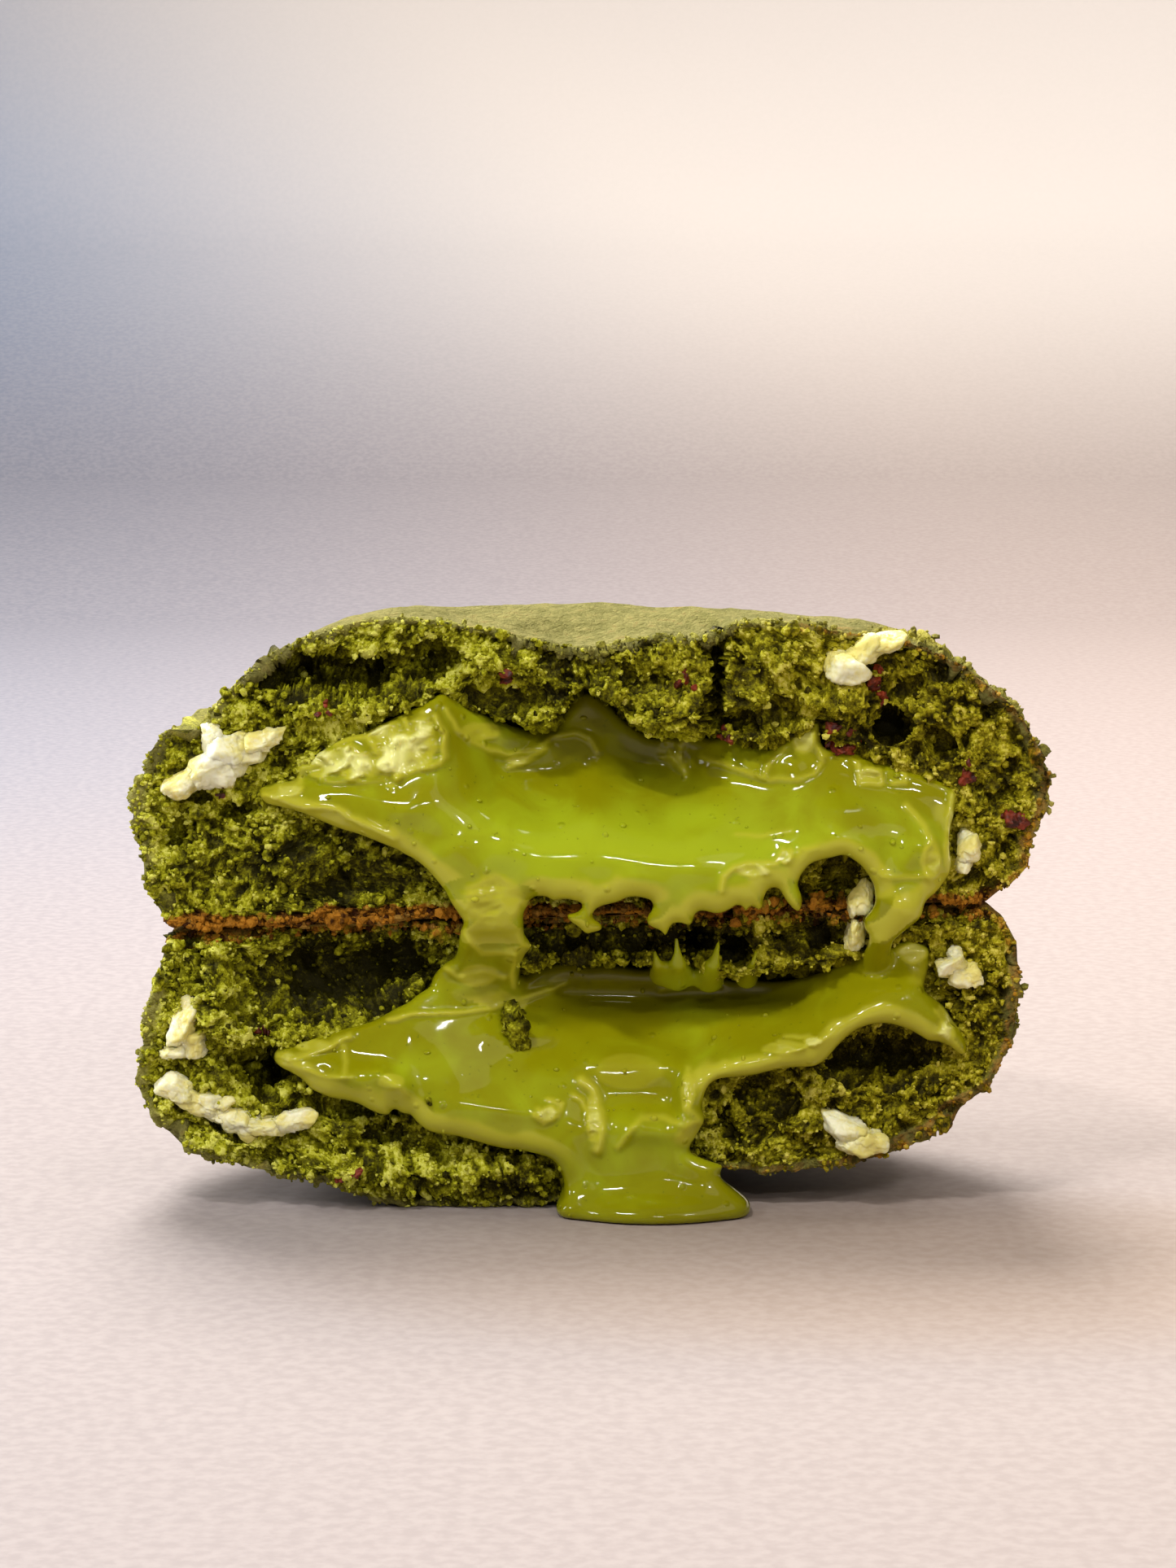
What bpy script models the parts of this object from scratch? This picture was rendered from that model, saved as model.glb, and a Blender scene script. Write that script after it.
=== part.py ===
"""A cream filled green tea cookie, torn in two and stacked: the upper half stands on its baked base,
the lower half lies dome down under it, and the cream runs out of both down to the surface.

Run with blender --background --python part.py. The lists below are in millimetres, seen from the
front: x to the right, z up from the surface, y away from the viewer with the torn faces at y = 0.
"""

import math

import bmesh
import bpy
import numpy as np
from mathutils import Vector, noise

MM = 0.001

# Driving dimensions of the cookie.
HALF_WIDTH = 45.0
HALF_DEPTH = 44.0
BASE_Z = 29.0
BASE_TILT = 0.0323
CONTACT_GAP = 0.35
FIT_GAP = 0.4
CREAM_GAP = 0.72
CREAM_DEPTH = 24.0
LIP_THICKNESS = 4.0
MOUTH_FRONT = -14.0
SETTLED = 1.8

# Where the side of a half is widest, above its base, and how far it reaches above and below that.
BELLY = 12.0
DOME_REACH = 17.6
BASE_REACH = 13.0

# How square the section of each dome is further back: 2 is an ellipse.
UPPER_DOME_POWER = 2.1
LOWER_DOME_POWER = 2.5
FOOT_POWER = 4.5

# Grid lines over the torn face, across and up, and from the face to the back.
CUTS_ACROSS = 56
CUTS_UP = 18
CUTS_BACK = (0.0, 0.03, 0.08, 0.16, 0.28, 0.44, 0.62, 0.8, 1.0)
HALF_TRIANGLES = 3300
CREAM_TRIANGLES = 2800

# The torn outline of each half: x, and height above its baked base.
UPPER_OUTLINE = (
    (45.4, 11.8), (43.2, 17.2), (38.2, 23.0), (34.3, 25.8), (28.0, 27.6), (23.2, 27.7), (15.2, 27.8),
    (12.8, 27.5), (7.2, 26.9), (0.8, 26.6), (-5.6, 27.1), (-11.9, 28.5), (-18.3, 29.5), (-23.9, 29.0),
    (-30.4, 27.3), (-35.9, 23.5), (-37.6, 20.6), (-41.8, 19.7), (-43.3, 16.8), (-44.6, 13.1),
    (-44.6, 9.9), (-43.7, 5.0), (-41.2, 0.0), (39.4, 0.0), (41.5, 1.8), (43.9, 4.6), (45.1, 8.6),
)
LOWER_OUTLINE = (
    (42.2, 10.7), (41.7, 15.2), (39.4, 18.3), (37.0, 20.6), (34.2, 22.3), (29.8, 24.5), (25.5, 25.6),
    (19.1, 25.8), (11.9, 25.2), (6.3, 26.2), (-1.7, 27.6), (-5.7, 28.1), (-9.7, 28.4), (-14.4, 28.5),
    (-18.4, 28.2), (-22.4, 27.4), (-25.6, 25.9), (-28.8, 24.6), (-33.6, 23.9), (-36.8, 23.2),
    (-40.4, 21.0), (-44.0, 17.8), (-44.8, 15.6), (-44.5, 12.2), (-44.1, 9.3), (-42.6, 4.5),
    (-41.2, 0.0), (39.6, 0.0), (41.4, 1.8), (42.6, 4.6), (42.9, 7.2),
)

# Forms of the torn crumb: x, z, reach across, reach up, and how far they stand out (or in, below 0).
UPPER_FORMS = (
    (-24.0, 53.0, 8.5, 1.9, -4.5), (-23.2, 48.6, 7.0, 2.4, 1.4), (-8.1, 50.3, 4.0, 1.8, -2.6),
    (1.5, 51.2, 2.2, 2.2, 1.8), (8.7, 50.0, 4.2, 3.6, 1.6), (12.5, 52.4, 0.9, 4.6, -6.0),
    (13.3, 48.6, 1.8, 2.0, -4.5), (18.0, 53.4, 4.2, 3.6, 1.2), (18.4, 48.6, 2.4, 1.4, -3.0),
    (29.8, 48.3, 1.5, 1.5, -4.5), (35.3, 46.7, 1.1, 1.5, -3.5), (-34.2, 40.2, 1.6, 1.1, -3.5),
    (-40.0, 37.8, 1.2, 2.2, -2.8), (36.6, 33.6, 3.0, 1.8, 1.4), (24.7, 32.6, 2.6, 3.0, -4.5),
)
LOWER_FORMS = (
    (-22.0, 23.2, 15.0, 4.6, -3.6), (-36.4, 19.8, 2.4, 6.2, 2.2), (-31.8, 13.7, 2.4, 1.9, -9.0),
    (-18.5, 3.6, 16.0, 3.4, 2.4), (28.3, 14.4, 6.0, 3.2, -5.0), (14.3, 9.9, 2.0, 3.0, -2.2),
    (21.1, 10.8, 2.2, 1.8, 1.4), (38.4, 18.0, 2.2, 8.0, 0.9), (35.4, 19.6, 1.2, 2.0, -2.4),
    (6.3, 26.0, 16.0, 2.0, -3.0), (32.6, 27.4, 4.0, 1.2, -2.6),
)

# Edges of the two pools of cream, each as x and z from the left tip to the right one.
UPPER_POOL_TOP = (
    (-32.0, 42.1), (-27.2, 46.3), (-22.4, 47.3), (-14.0, 50.3), (-9.7, 48.7), (-4.9, 48.2),
    (0.3, 50.7), (5.5, 46.7), (9.5, 47.1), (19.1, 45.6), (22.3, 47.5), (27.1, 44.3), (34.2, 43.0),
    (36.0, 41.0),
)
UPPER_POOL_FOOT = (
    (-32.0, 41.6), (-24.0, 38.8), (-16.0, 34.8), (-12.0, 31.0), (-5.3, 31.1), (3.1, 31.3),
    (11.1, 30.6), (19.1, 32.1), (22.3, 34.8), (25.5, 35.1), (28.2, 30.4), (31.8, 29.9), (34.2, 31.7),
    (36.0, 38.0),
)
LOWER_POOL_TOP = (
    (-31.0, 15.4), (-23.6, 17.0), (-17.6, 20.8), (-14.0, 24.0), (-6.1, 23.2), (7.9, 24.0),
    (19.9, 22.8), (27.1, 24.6), (33.0, 26.2), (34.6, 21.0), (36.5, 18.0),
)
LOWER_POOL_FOOT = (
    (-31.0, 14.4), (-25.6, 11.9), (-21.6, 11.3), (-16.0, 7.8), (-8.1, 6.5), (-2.5, 4.6), (9.6, 5.0),
    (11.3, 9.1), (12.7, 11.9), (22.3, 14.7), (28.6, 18.6), (31.8, 18.8), (36.5, 16.8),
)

# Each pool: its edges, and where its face lies at the lip and under the crust.
POOLS = {
    "upper_pool": (UPPER_POOL_TOP, UPPER_POOL_FOOT, -4.4, 8.0),
    "lower_pool": (LOWER_POOL_TOP, LOWER_POOL_FOOT, -4.2, 8.0),
}

# Runs of cream: how flat front to back, then x, y, z and radius at each bend.
RUNS = {
    "upper_fall": (0.85, ((-9.4, -2.0, 34.0, 3.6), (-9.6, -2.6, 30.0, 2.9), (-9.4, -1.0, 26.0, 3.4),
                          (-9.0, 3.0, 21.5, 5.0))),
    "right_fall": (1.0, ((30.2, -1.6, 33.5, 3.0), (29.6, -2.2, 29.4, 1.8), (29.2, 0.0, 25.4, 2.0),
                         (29.0, 3.0, 21.5, 2.6))),
    "small_drip": (1.0, ((0.7, -2.6, 32.4, 1.5), (0.9, -2.5, 28.4, 0.9))),
    "thin_drip": (1.0, ((7.9, -2.6, 32.2, 1.5), (8.1, -2.5, 28.4, 0.9))),
    "floor_fall": (0.62, ((3.6, -1.6, 12.0, 7.5), (4.4, -3.0, 6.5, 6.2), (5.0, -3.2, 1.6, 6.4))),
}
PUDDLE_CENTRE = (6.4, -2.2, 1.3)
PUDDLE_REACH = (8.6, 5.4, 3.0)
CREAM_VOXEL = 0.85

# White chocolate: x, y, z, half length, half height, half depth, and turn in degrees.
CHOCOLATE = (
    (-35.0, -0.3, 45.0, 6.4, 2.0, 2.6, 25), (26.3, 1.2, 54.8, 4.4, 2.3, 3.0, 20), (37.6, 0.4, 35.6, 1.4, 1.5, 2.0, 0),
    (26.0, 2.0, 31.6, 1.4, 1.7, 2.6, -20), (26.2, 1.8, 26.6, 1.3, 1.5, 2.6, 15), (-40.2, 0.2, 18.2, 1.5, 3.4, 2.2, -8),
    (-39.0, 0.6, 10.9, 3.2, 1.6, 2.2, -25), (-30.2, -0.4, 9.2, 4.8, 1.1, 1.8, -4), (37.6, 0.8, 23.6, 1.9, 1.7, 2.2, 10),
    (26.2, 0.2, 7.4, 3.6, 1.5, 2.2, -18),
)
CHOCOLATE_ROUNDS = 2


def material(name, colour, roughness):
    """A plain Principled finish."""
    made = bpy.data.materials.new(name)
    made.use_nodes = True
    shader = made.node_tree.nodes["Principled BSDF"]
    shader.inputs["Base Color"].default_value = (*colour, 1.0)
    shader.inputs["Roughness"].default_value = roughness
    return made


def smoothstep(low, high, value):
    share = np.clip((value - low) / (high - low), 0.0, 1.0)
    return share * share * (3.0 - 2.0 * share)


def points_of(mesh):
    found = np.empty(len(mesh.vertices) * 3)
    mesh.vertices.foreach_get("co", found)
    return found.reshape(-1, 3)


def set_points(mesh, points):
    mesh.vertices.foreach_set("co", np.asarray(points, np.float32).ravel())
    mesh.update()


def new_object(name, mesh, collection, finish=None):
    made = bpy.data.objects.new(name, mesh)
    collection.objects.link(made)
    if finish is not None:
        mesh.materials.clear()
        mesh.materials.append(finish)
    return made


def cut_cube(name, across, back, up):
    """A cube from -1 to 1 with extra edge loops where the three lists say."""
    mesh = bpy.data.meshes.new(name)
    bm = bmesh.new()
    bmesh.ops.create_cube(bm, size=2.0)
    for axis, places in enumerate((across, back, up)):
        normal = Vector((0.0, 0.0, 0.0))
        normal[axis] = 1.0
        for place in places:
            everything = bm.verts[:] + bm.edges[:] + bm.faces[:]
            bmesh.ops.bisect_plane(bm, geom=everything, plane_co=normal * place, plane_no=normal, dist=1e-6)
    bm.to_mesh(mesh)
    bm.free()
    return mesh


def base_plane(x):
    """Height of the plane where the two baked bases meet, a little higher on the right."""
    return BASE_Z + BASE_TILT * x


def outline_scale(outline):
    """The outline in polar form about the belly: angles, and the reach as a share of the plain oval."""
    corners = np.array(outline + outline[:1])
    steps = np.linspace(0.0, 1.0, 24, endpoint=False)
    dense = np.concatenate([a + np.outer(steps, b - a) for a, b in zip(corners[:-1], corners[1:])])
    above = dense[:, 1] - BELLY
    across = dense[:, 0] / HALF_WIDTH
    upward = above / np.where(above > 0.0, DOME_REACH, BASE_REACH)
    angle = np.arctan2(upward, across) % (2.0 * math.pi)
    order = np.argsort(angle)
    return angle[order], np.hypot(across, upward)[order]


def plain_scale(angle, dome_power):
    """Reach of an untorn half: a low dome above the belly and a squarer foot below it."""
    power = np.where(np.sin(angle) > 0.0, dome_power, FOOT_POWER)
    total = np.abs(np.cos(angle)) ** power + np.abs(np.sin(angle)) ** power
    return total ** (-1.0 / power)


def half_shape(points, outline, dome_power):
    """Cube points become half a round cookie: x, depth and height above the baked base, before tearing.

    The plan is a square pressed into a half disc, and the section a square pressed into a disc that
    is then stretched to the torn outline at the front and to a plain dome further back.
    """
    a, b, c = points[:, 0], (points[:, 1] + 1.0) / 2.0, points[:, 2]
    plan_x = a * np.sqrt(1.0 - b * b / 2.0)
    plan_y = b * np.sqrt(1.0 - a * a / 2.0)
    radius = np.hypot(plan_x, plan_y)
    cosine = np.divide(plan_x, radius, out=np.ones_like(radius), where=radius > 1e-9)
    sine = np.divide(plan_y, radius, out=np.zeros_like(radius), where=radius > 1e-9)
    outward = radius * np.sqrt(1.0 - c * c / 2.0)
    upward = c * np.sqrt(1.0 - radius * radius / 2.0)
    share = np.hypot(outward, upward)
    angle = np.arctan2(upward, outward)
    angles, scales = outline_scale(outline)
    right = np.interp(angle % (2.0 * math.pi), angles, scales, period=2.0 * math.pi)
    left = np.interp((math.pi - angle) % (2.0 * math.pi), angles, scales, period=2.0 * math.pi)
    torn = left + (right - left) * (1.0 + cosine) / 2.0
    whole = smoothstep(2.0, 15.0, plan_y * HALF_DEPTH)
    reach = share * (torn + (plain_scale(angle, dome_power) - torn) * whole)
    across = reach * np.cos(angle) * HALF_WIDTH
    height = BELLY + reach * np.sin(angle) * np.where(angle > 0.0, DOME_REACH, BASE_REACH)
    return across * cosine, across * sine * HALF_DEPTH / HALF_WIDTH, np.maximum(height, 0.0)


def crumb_relief(x, z, forms, seed):
    """How far the torn crumb stands out: the named lumps and caves, clumps of crumb, and roughness."""
    out = np.zeros_like(x)
    for centre_x, centre_z, reach_x, reach_z, height in forms:
        away = ((x - centre_x) / reach_x) ** 2 + ((z - centre_z) / reach_z) ** 2
        out += height * np.exp(-(away ** 1.5))
    spots = [Vector((px / 4.2 + seed, seed, pz / 4.2)) for px, pz in zip(x, z)]
    clumps = np.array([noise.voronoi(spot)[0][0] for spot in spots])
    rough = np.array([noise.fractal(spot * 2.2, 1.0, 2.0, 2) for spot in spots])
    return out + 1.1 * (0.45 - clumps) + 0.6 * rough


def skin_waves(x, y, seed):
    """Low swells of the baked dome."""
    spots = [Vector((px / 17.0, py / 17.0, seed)) for px, py in zip(x, y)]
    return np.array([noise.noise(spot) for spot in spots])


def half_cookie(name, outline, forms, dome_power, upward, seed, collection, finish):
    """One half: upward 1 with its dome on top, -1 with its dome on the surface."""
    across = np.linspace(-1.0, 1.0, CUTS_ACROSS + 1)[1:-1]
    back = [2.0 * cut - 1.0 for cut in CUTS_BACK[1:-1]]
    up = np.linspace(-1.0, 1.0, CUTS_UP + 1)[1:-1]
    mesh = cut_cube(name, across, back, up)
    x, depth, height = half_shape(points_of(mesh), outline, dome_power)
    dome = smoothstep(14.0, 24.0, height)
    if upward > 0:
        height = height + 1.6 * dome * skin_waves(x, depth, seed)
    else:
        height = height + SETTLED * dome * np.exp(-(np.hypot(x + 3.0, depth - 20.0) / 17.0) ** 2)
    z = base_plane(x) + upward * (height + CONTACT_GAP / 2.0)
    relief = crumb_relief(x, z, forms, seed)
    at_rim = smoothstep(0.0, 0.5, height)
    depth = depth - relief * np.exp(-depth / 4.0) * at_rim
    z = np.maximum(z, 0.0)
    set_points(mesh, np.stack([x, depth, z], axis=1) * MM)
    bm = bmesh.new()
    bm.from_mesh(mesh)
    bmesh.ops.triangulate(bm, faces=bm.faces)
    bmesh.ops.recalc_face_normals(bm, faces=bm.faces)
    bm.to_mesh(mesh)
    bm.free()
    return new_object(name, mesh, collection, finish)


def apply_modifiers(obj):
    """Replaces the object's mesh by its evaluated one, and drops the modifiers."""
    bpy.context.view_layer.update()
    evaluated = obj.evaluated_get(bpy.context.evaluated_depsgraph_get())
    mesh = bpy.data.meshes.new_from_object(evaluated)
    obj.modifiers.clear()
    obj.data = mesh
    return obj


def thin_out(obj, triangles):
    """Collapses the flattest edges until that many triangles are left."""
    obj.data.calc_loop_triangles()
    modifier = obj.modifiers.new("Fewer faces", "DECIMATE")
    modifier.ratio = min(1.0, triangles / len(obj.data.loop_triangles))
    modifier.use_collapse_triangulate = True
    return apply_modifiers(obj)


def pool(name, top, foot, lip, deep, collection, mouth=False):
    """A pool of cream between two edge curves, deep under the crust above and out over the lip below.

    Across, it runs from tip to tip. Up, it runs from the foot to the top edge. Back, it goes from its
    open face to the core inside the cookie, which is thickest at half height. The mouth is the empty
    space before that face instead.
    """
    left, right = top[0][0], top[-1][0]
    mesh = cut_cube(name, np.linspace(-0.96, 0.96, 40), np.linspace(-0.6, 0.6, 4), np.linspace(-0.85, 0.85, 12))
    a, b, c = points_of(mesh).T
    x = left + (right - left) * (a + 1.0) / 2.0
    upper, lower = np.interp(x, *np.array(top).T), np.interp(x, *np.array(foot).T)
    share = (c + 1.0) / 2.0
    z = lower + share * (upper - lower)
    middle = 1.0 - np.abs(2.0 * (x - left) / (right - left) - 1.0) ** 3
    face = (lip + (deep - lip) * smoothstep(0.1, 0.95, share)) * (0.35 + 0.65 * middle)
    inside = smoothstep(0.3, 0.6, share) * (1.0 - 0.5 * smoothstep(0.75, 1.0, share))
    front, back = face, face + LIP_THICKNESS + CREAM_DEPTH * np.sqrt(middle) * inside
    if mouth:
        front, back = np.full_like(face, MOUTH_FRONT), face + 1.0
        z = z + 0.5 * share
    set_points(mesh, np.stack([x, front + (back - front) * (b + 1.0) / 2.0, z], axis=1) * MM)
    return new_object(name, mesh, collection)


def string(name, flat, bends, collection):
    """A run of cream of changing thickness, as a bevelled curve made a closed mesh and then flattened."""
    curve = bpy.data.curves.new(name, "CURVE")
    curve.dimensions = "3D"
    curve.bevel_depth = MM
    curve.bevel_resolution = 3
    curve.use_fill_caps = True
    curve.resolution_u = 6
    spline = curve.splines.new("BEZIER")
    spline.bezier_points.add(len(bends) - 1)
    for point, (x, y, z, radius) in zip(spline.bezier_points, bends):
        point.co = (x * MM, y * MM, z * MM)
        point.radius = radius
        point.handle_left_type = point.handle_right_type = "AUTO"
    guide = bpy.data.objects.new(name, curve)
    collection.objects.link(guide)
    bpy.context.view_layer.update()
    mesh = bpy.data.meshes.new_from_object(guide.evaluated_get(bpy.context.evaluated_depsgraph_get()))
    bpy.data.objects.remove(guide)
    bm = bmesh.new()
    bm.from_mesh(mesh)
    bmesh.ops.remove_doubles(bm, verts=bm.verts, dist=1e-6)
    bm.to_mesh(mesh)
    bm.free()
    points = points_of(mesh)
    middle = np.array([y for x, y, z, radius in bends]).mean() * MM
    points[:, 1] = middle + (points[:, 1] - middle) * flat
    set_points(mesh, points)
    return new_object(name, mesh, collection)


def puddle(collection):
    """The cream that has spread on the surface: a flattened ball, its underside cut flat later."""
    mesh = bpy.data.meshes.new("puddle")
    bm = bmesh.new()
    bmesh.ops.create_uvsphere(bm, u_segments=28, v_segments=14, radius=1.0)
    bm.to_mesh(mesh)
    bm.free()
    set_points(mesh, (points_of(mesh) * PUDDLE_REACH + PUDDLE_CENTRE) * MM)
    return new_object("puddle", mesh, collection)


def joined(name, objects, collection, finish):
    """The objects as one, each shape still loose in it."""
    bm = bmesh.new()
    for obj in objects:
        bm.from_mesh(obj.data)
        bpy.data.objects.remove(obj)
    bmesh.ops.recalc_face_normals(bm, faces=bm.faces)
    mesh = bpy.data.meshes.new(name)
    bm.to_mesh(mesh)
    bm.free()
    return new_object(name, mesh, collection, finish)


def cream(collection, finish):
    """Pools, falls, drips and puddle fused into one body, smoothed, and flat where it meets the surface."""
    shapes = [string(name, flat, bends, collection) for name, (flat, bends) in RUNS.items()]
    shapes += [pool(name, *edges, collection) for name, edges in POOLS.items()]
    shapes.append(puddle(collection))
    made = joined("cream", shapes, collection, finish)
    fused(made, CREAM_VOXEL)
    soften = made.modifiers.new("Soften", "SMOOTH")
    soften.factor = 0.5
    soften.iterations = 5
    apply_modifiers(made)
    points = points_of(made.data)
    points[:, 2] = np.maximum(points[:, 2], 0.0)
    set_points(made.data, points)
    return thin_out(made, CREAM_TRIANGLES)


def chocolate_chunk(name, size, collection, finish, seed):
    """One piece of white chocolate: a ball pressed to its three sizes, turned, and made uneven."""
    x, y, z, half_length, half_height, half_depth, turn = size
    mesh = bpy.data.meshes.new(name)
    bm = bmesh.new()
    bmesh.ops.create_icosphere(bm, subdivisions=CHOCOLATE_ROUNDS, radius=1.0)
    bm.to_mesh(mesh)
    bm.free()
    ball = points_of(mesh)
    lumps = np.array([noise.noise(Vector(p) * 1.7 + Vector((seed, 0.0, 0.0))) for p in ball])
    squared = np.sign(ball) * np.abs(ball) ** 0.8
    a, b, c = (squared * (1.0 + 0.3 * lumps[:, None]) * (half_length, half_depth, half_height)).T
    angle = math.radians(turn)
    across = a * math.cos(angle) - c * math.sin(angle)
    up = a * math.sin(angle) + c * math.cos(angle)
    set_points(mesh, np.stack([x + across, y + b, z + up], axis=1) * MM)
    return new_object(name, mesh, collection, finish)


def as_cutter(obj):
    obj.hide_render = True
    obj.display_type = "WIRE"
    return obj


def swollen(obj, gap, collection):
    """A cutter: the same shape, grown by the gap that touching pieces keep."""
    cutter = new_object("cut_" + obj.name, obj.data.copy(), collection)
    grow = cutter.modifiers.new("Grow", "DISPLACE")
    grow.mid_level = 0.0
    grow.strength = gap * MM
    apply_modifiers(cutter)
    return as_cutter(cutter)


def fused(obj, voxel):
    """Rebuilds the surface on a grid of cells, which joins its shapes and drops what lies inside."""
    fuse = obj.modifiers.new("Fuse", "REMESH")
    fuse.mode = "VOXEL"
    fuse.voxel_size = voxel * MM
    return apply_modifiers(obj)


def main_body_only(obj):
    """Drops the loose scraps that a cut leaves."""
    bm = bmesh.new()
    bm.from_mesh(obj.data)
    left, groups = set(bm.verts), []
    while left:
        group, edge = set(), [left.pop()]
        while edge:
            vert = edge.pop()
            group.add(vert)
            near = {other.other_vert(vert) for other in vert.link_edges} & left
            left -= near
            edge.extend(near)
        groups.append(group)
    keep = max(groups, key=len)
    bmesh.ops.delete(bm, geom=[v for v in bm.verts if v not in keep], context="VERTS")
    bm.to_mesh(obj.data)
    bm.free()


def cut_away(obj, cutters):
    """Takes the cutters out of the object, one Boolean each."""
    for cutter in cutters:
        cut = obj.modifiers.new("Cut", "BOOLEAN")
        cut.operation = "DIFFERENCE"
        cut.object = cutter
    apply_modifiers(obj)
    main_body_only(obj)
    return obj


def touching(first, second):
    """Whether the boxes round two objects meet."""
    low_a, high_a = points_of(first.data).min(axis=0), points_of(first.data).max(axis=0)
    low_b, high_b = points_of(second.data).min(axis=0), points_of(second.data).max(axis=0)
    return bool(((low_a < high_b) & (low_b < high_a)).all())


def main():
    for obj in list(bpy.data.objects):
        bpy.data.objects.remove(obj)
    stack = bpy.data.collections.new("torn_filled_cookie")
    cutters = bpy.data.collections.new("cutters")
    for collection in (stack, cutters):
        bpy.context.scene.collection.children.link(collection)
    crumb = material("green_crumb", (0.16, 0.17, 0.02), 0.9)
    filling = material("green_cream", (0.36, 0.38, 0.02), 0.18)
    white = material("white_chocolate", (0.72, 0.66, 0.42), 0.45)

    upper = half_cookie("upper_half", UPPER_OUTLINE, UPPER_FORMS, UPPER_DOME_POWER, 1, 3.7, stack, crumb)
    lower = half_cookie("lower_half", LOWER_OUTLINE, LOWER_FORMS, LOWER_DOME_POWER, -1, 8.2, stack, crumb)
    for half in (upper, lower):
        thin_out(half, HALF_TRIANGLES)
    flow = cream(stack, filling)
    chunks = [chocolate_chunk(f"white_chocolate_{n + 1:02d}", size, stack, white, 2.3 * n)
              for n, size in enumerate(CHOCOLATE)]
    chunk_cutters = [swollen(chunk, FIT_GAP, cutters) for chunk in chunks]
    cut_away(flow, [cutter for cutter in chunk_cutters if touching(cutter, flow)])
    flow_cutter = thin_out(fused(swollen(flow, CREAM_GAP, cutters), CREAM_VOXEL), CREAM_TRIANGLES)
    for half, hollow in ((upper, "upper_pool"), (lower, "lower_pool")):
        mouth = as_cutter(pool("cut_" + hollow, *POOLS[hollow], cutters, mouth=True))
        near = [cutter for cutter in chunk_cutters if touching(cutter, half)]
        cut_away(half, [mouth, flow_cutter] + near)

    everything = np.concatenate([points_of(obj.data) for obj in stack.objects])
    middle = (everything.min(axis=0) + everything.max(axis=0)) / 2.0
    for obj in stack.objects:
        points = points_of(obj.data)
        points[:, :2] -= middle[:2]
        set_points(obj.data, points)


main()
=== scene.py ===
import math
from itertools import product

import bpy
import numpy as np
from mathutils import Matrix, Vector


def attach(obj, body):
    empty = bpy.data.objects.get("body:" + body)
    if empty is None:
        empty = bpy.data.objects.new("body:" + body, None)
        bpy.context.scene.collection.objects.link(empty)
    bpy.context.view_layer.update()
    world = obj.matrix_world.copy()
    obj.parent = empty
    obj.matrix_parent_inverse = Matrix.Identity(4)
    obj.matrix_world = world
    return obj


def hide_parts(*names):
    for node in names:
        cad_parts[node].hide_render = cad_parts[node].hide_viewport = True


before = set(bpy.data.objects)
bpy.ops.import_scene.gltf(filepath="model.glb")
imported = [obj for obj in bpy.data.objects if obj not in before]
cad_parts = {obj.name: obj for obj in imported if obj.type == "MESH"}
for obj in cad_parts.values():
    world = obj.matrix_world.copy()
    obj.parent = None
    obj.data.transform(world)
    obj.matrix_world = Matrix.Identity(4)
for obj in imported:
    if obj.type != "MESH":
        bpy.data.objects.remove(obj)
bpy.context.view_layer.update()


# The two torn halves. The real cookie is a thick disc of green tea dough, baked until its underside
# browned, then pulled in two while warm and stacked base to base with the torn faces to the front.
# Lengths are in millimetres from the middle of the torn faces: x right, y away, z up from the table.
MM = 0.001
TORN_FACE_X, TORN_FACE_Y = -0.301, -18.306
HALF_WIDTH, HALF_DEPTH = 45.0, 44.0
BASE_Z, BASE_TILT, CONTACT_GAP = 29.0, 0.0323, 0.25
# Height of the belly above the baked base, and the plain oval's reach from there up and down.
BELLY, DOME_REACH, BASE_REACH, BASE_POWER = 12.0, 17.6, 13.0, 4.5
# The eye that the cream's edges are seen from, which is the camera's place.
EYE_Y, EYE_Z = -414.0, 100.0

# Outlines of the torn faces: x, and height above the baked base.
UPPER_OUTLINE = (
    (45.4, 11.8), (44.2, 15.6), (42.4, 18.6), (38.9, 22.2), (36.6, 24.6), (33.2, 26.4), (28.6, 27.5),
    (23.2, 27.6), (18.0, 27.9), (14.2, 28.0), (12.8, 27.3), (10.0, 26.6), (7.2, 26.9), (3.6, 26.7),
    (0.0, 26.5), (-3.4, 26.7), (-6.5, 27.1), (-9.6, 28.1), (-12.9, 28.6), (-17.2, 29.3), (-20.4, 29.4),
    (-24.8, 28.8), (-28.2, 27.9), (-31.2, 26.8), (-34.0, 24.9), (-36.2, 22.9), (-37.0, 20.7), (-39.0, 20.0),
    (-41.2, 20.2), (-42.6, 18.6), (-43.4, 16.0), (-44.8, 13.4), (-44.9, 10.2), (-43.9, 7.4), (-43.7, 4.2),
    (-42.2, 2.0), (-41.2, 0.0), (39.4, 0.0), (41.4, 1.6), (43.4, 3.8), (43.6, 6.6), (44.8, 9.0),
)
LOWER_OUTLINE = (
    (42.4, 9.9), (42.3, 13.0), (40.9, 16.2), (39.6, 18.4), (37.6, 19.6), (36.4, 21.4), (33.4, 23.0),
    (29.8, 24.5), (26.0, 25.6), (22.0, 25.8), (18.0, 25.9), (13.0, 25.4), (9.4, 25.6), (6.3, 26.4),
    (1.5, 27.0), (-2.6, 27.7), (-6.2, 28.1), (-9.9, 28.3), (-14.4, 28.5), (-18.4, 28.3), (-21.6, 27.3),
    (-24.4, 26.4), (-26.2, 25.1), (-29.2, 24.7), (-33.6, 23.9), (-36.8, 22.9), (-39.6, 21.7), (-42.2, 19.6),
    (-44.2, 17.4), (-44.8, 15.0), (-44.2, 12.0), (-44.3, 9.0), (-42.9, 6.0), (-42.2, 3.0), (-41.2, 0.0),
    (39.6, 0.0), (41.0, 1.4), (42.4, 4.0), (42.6, 7.0),
)
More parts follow.
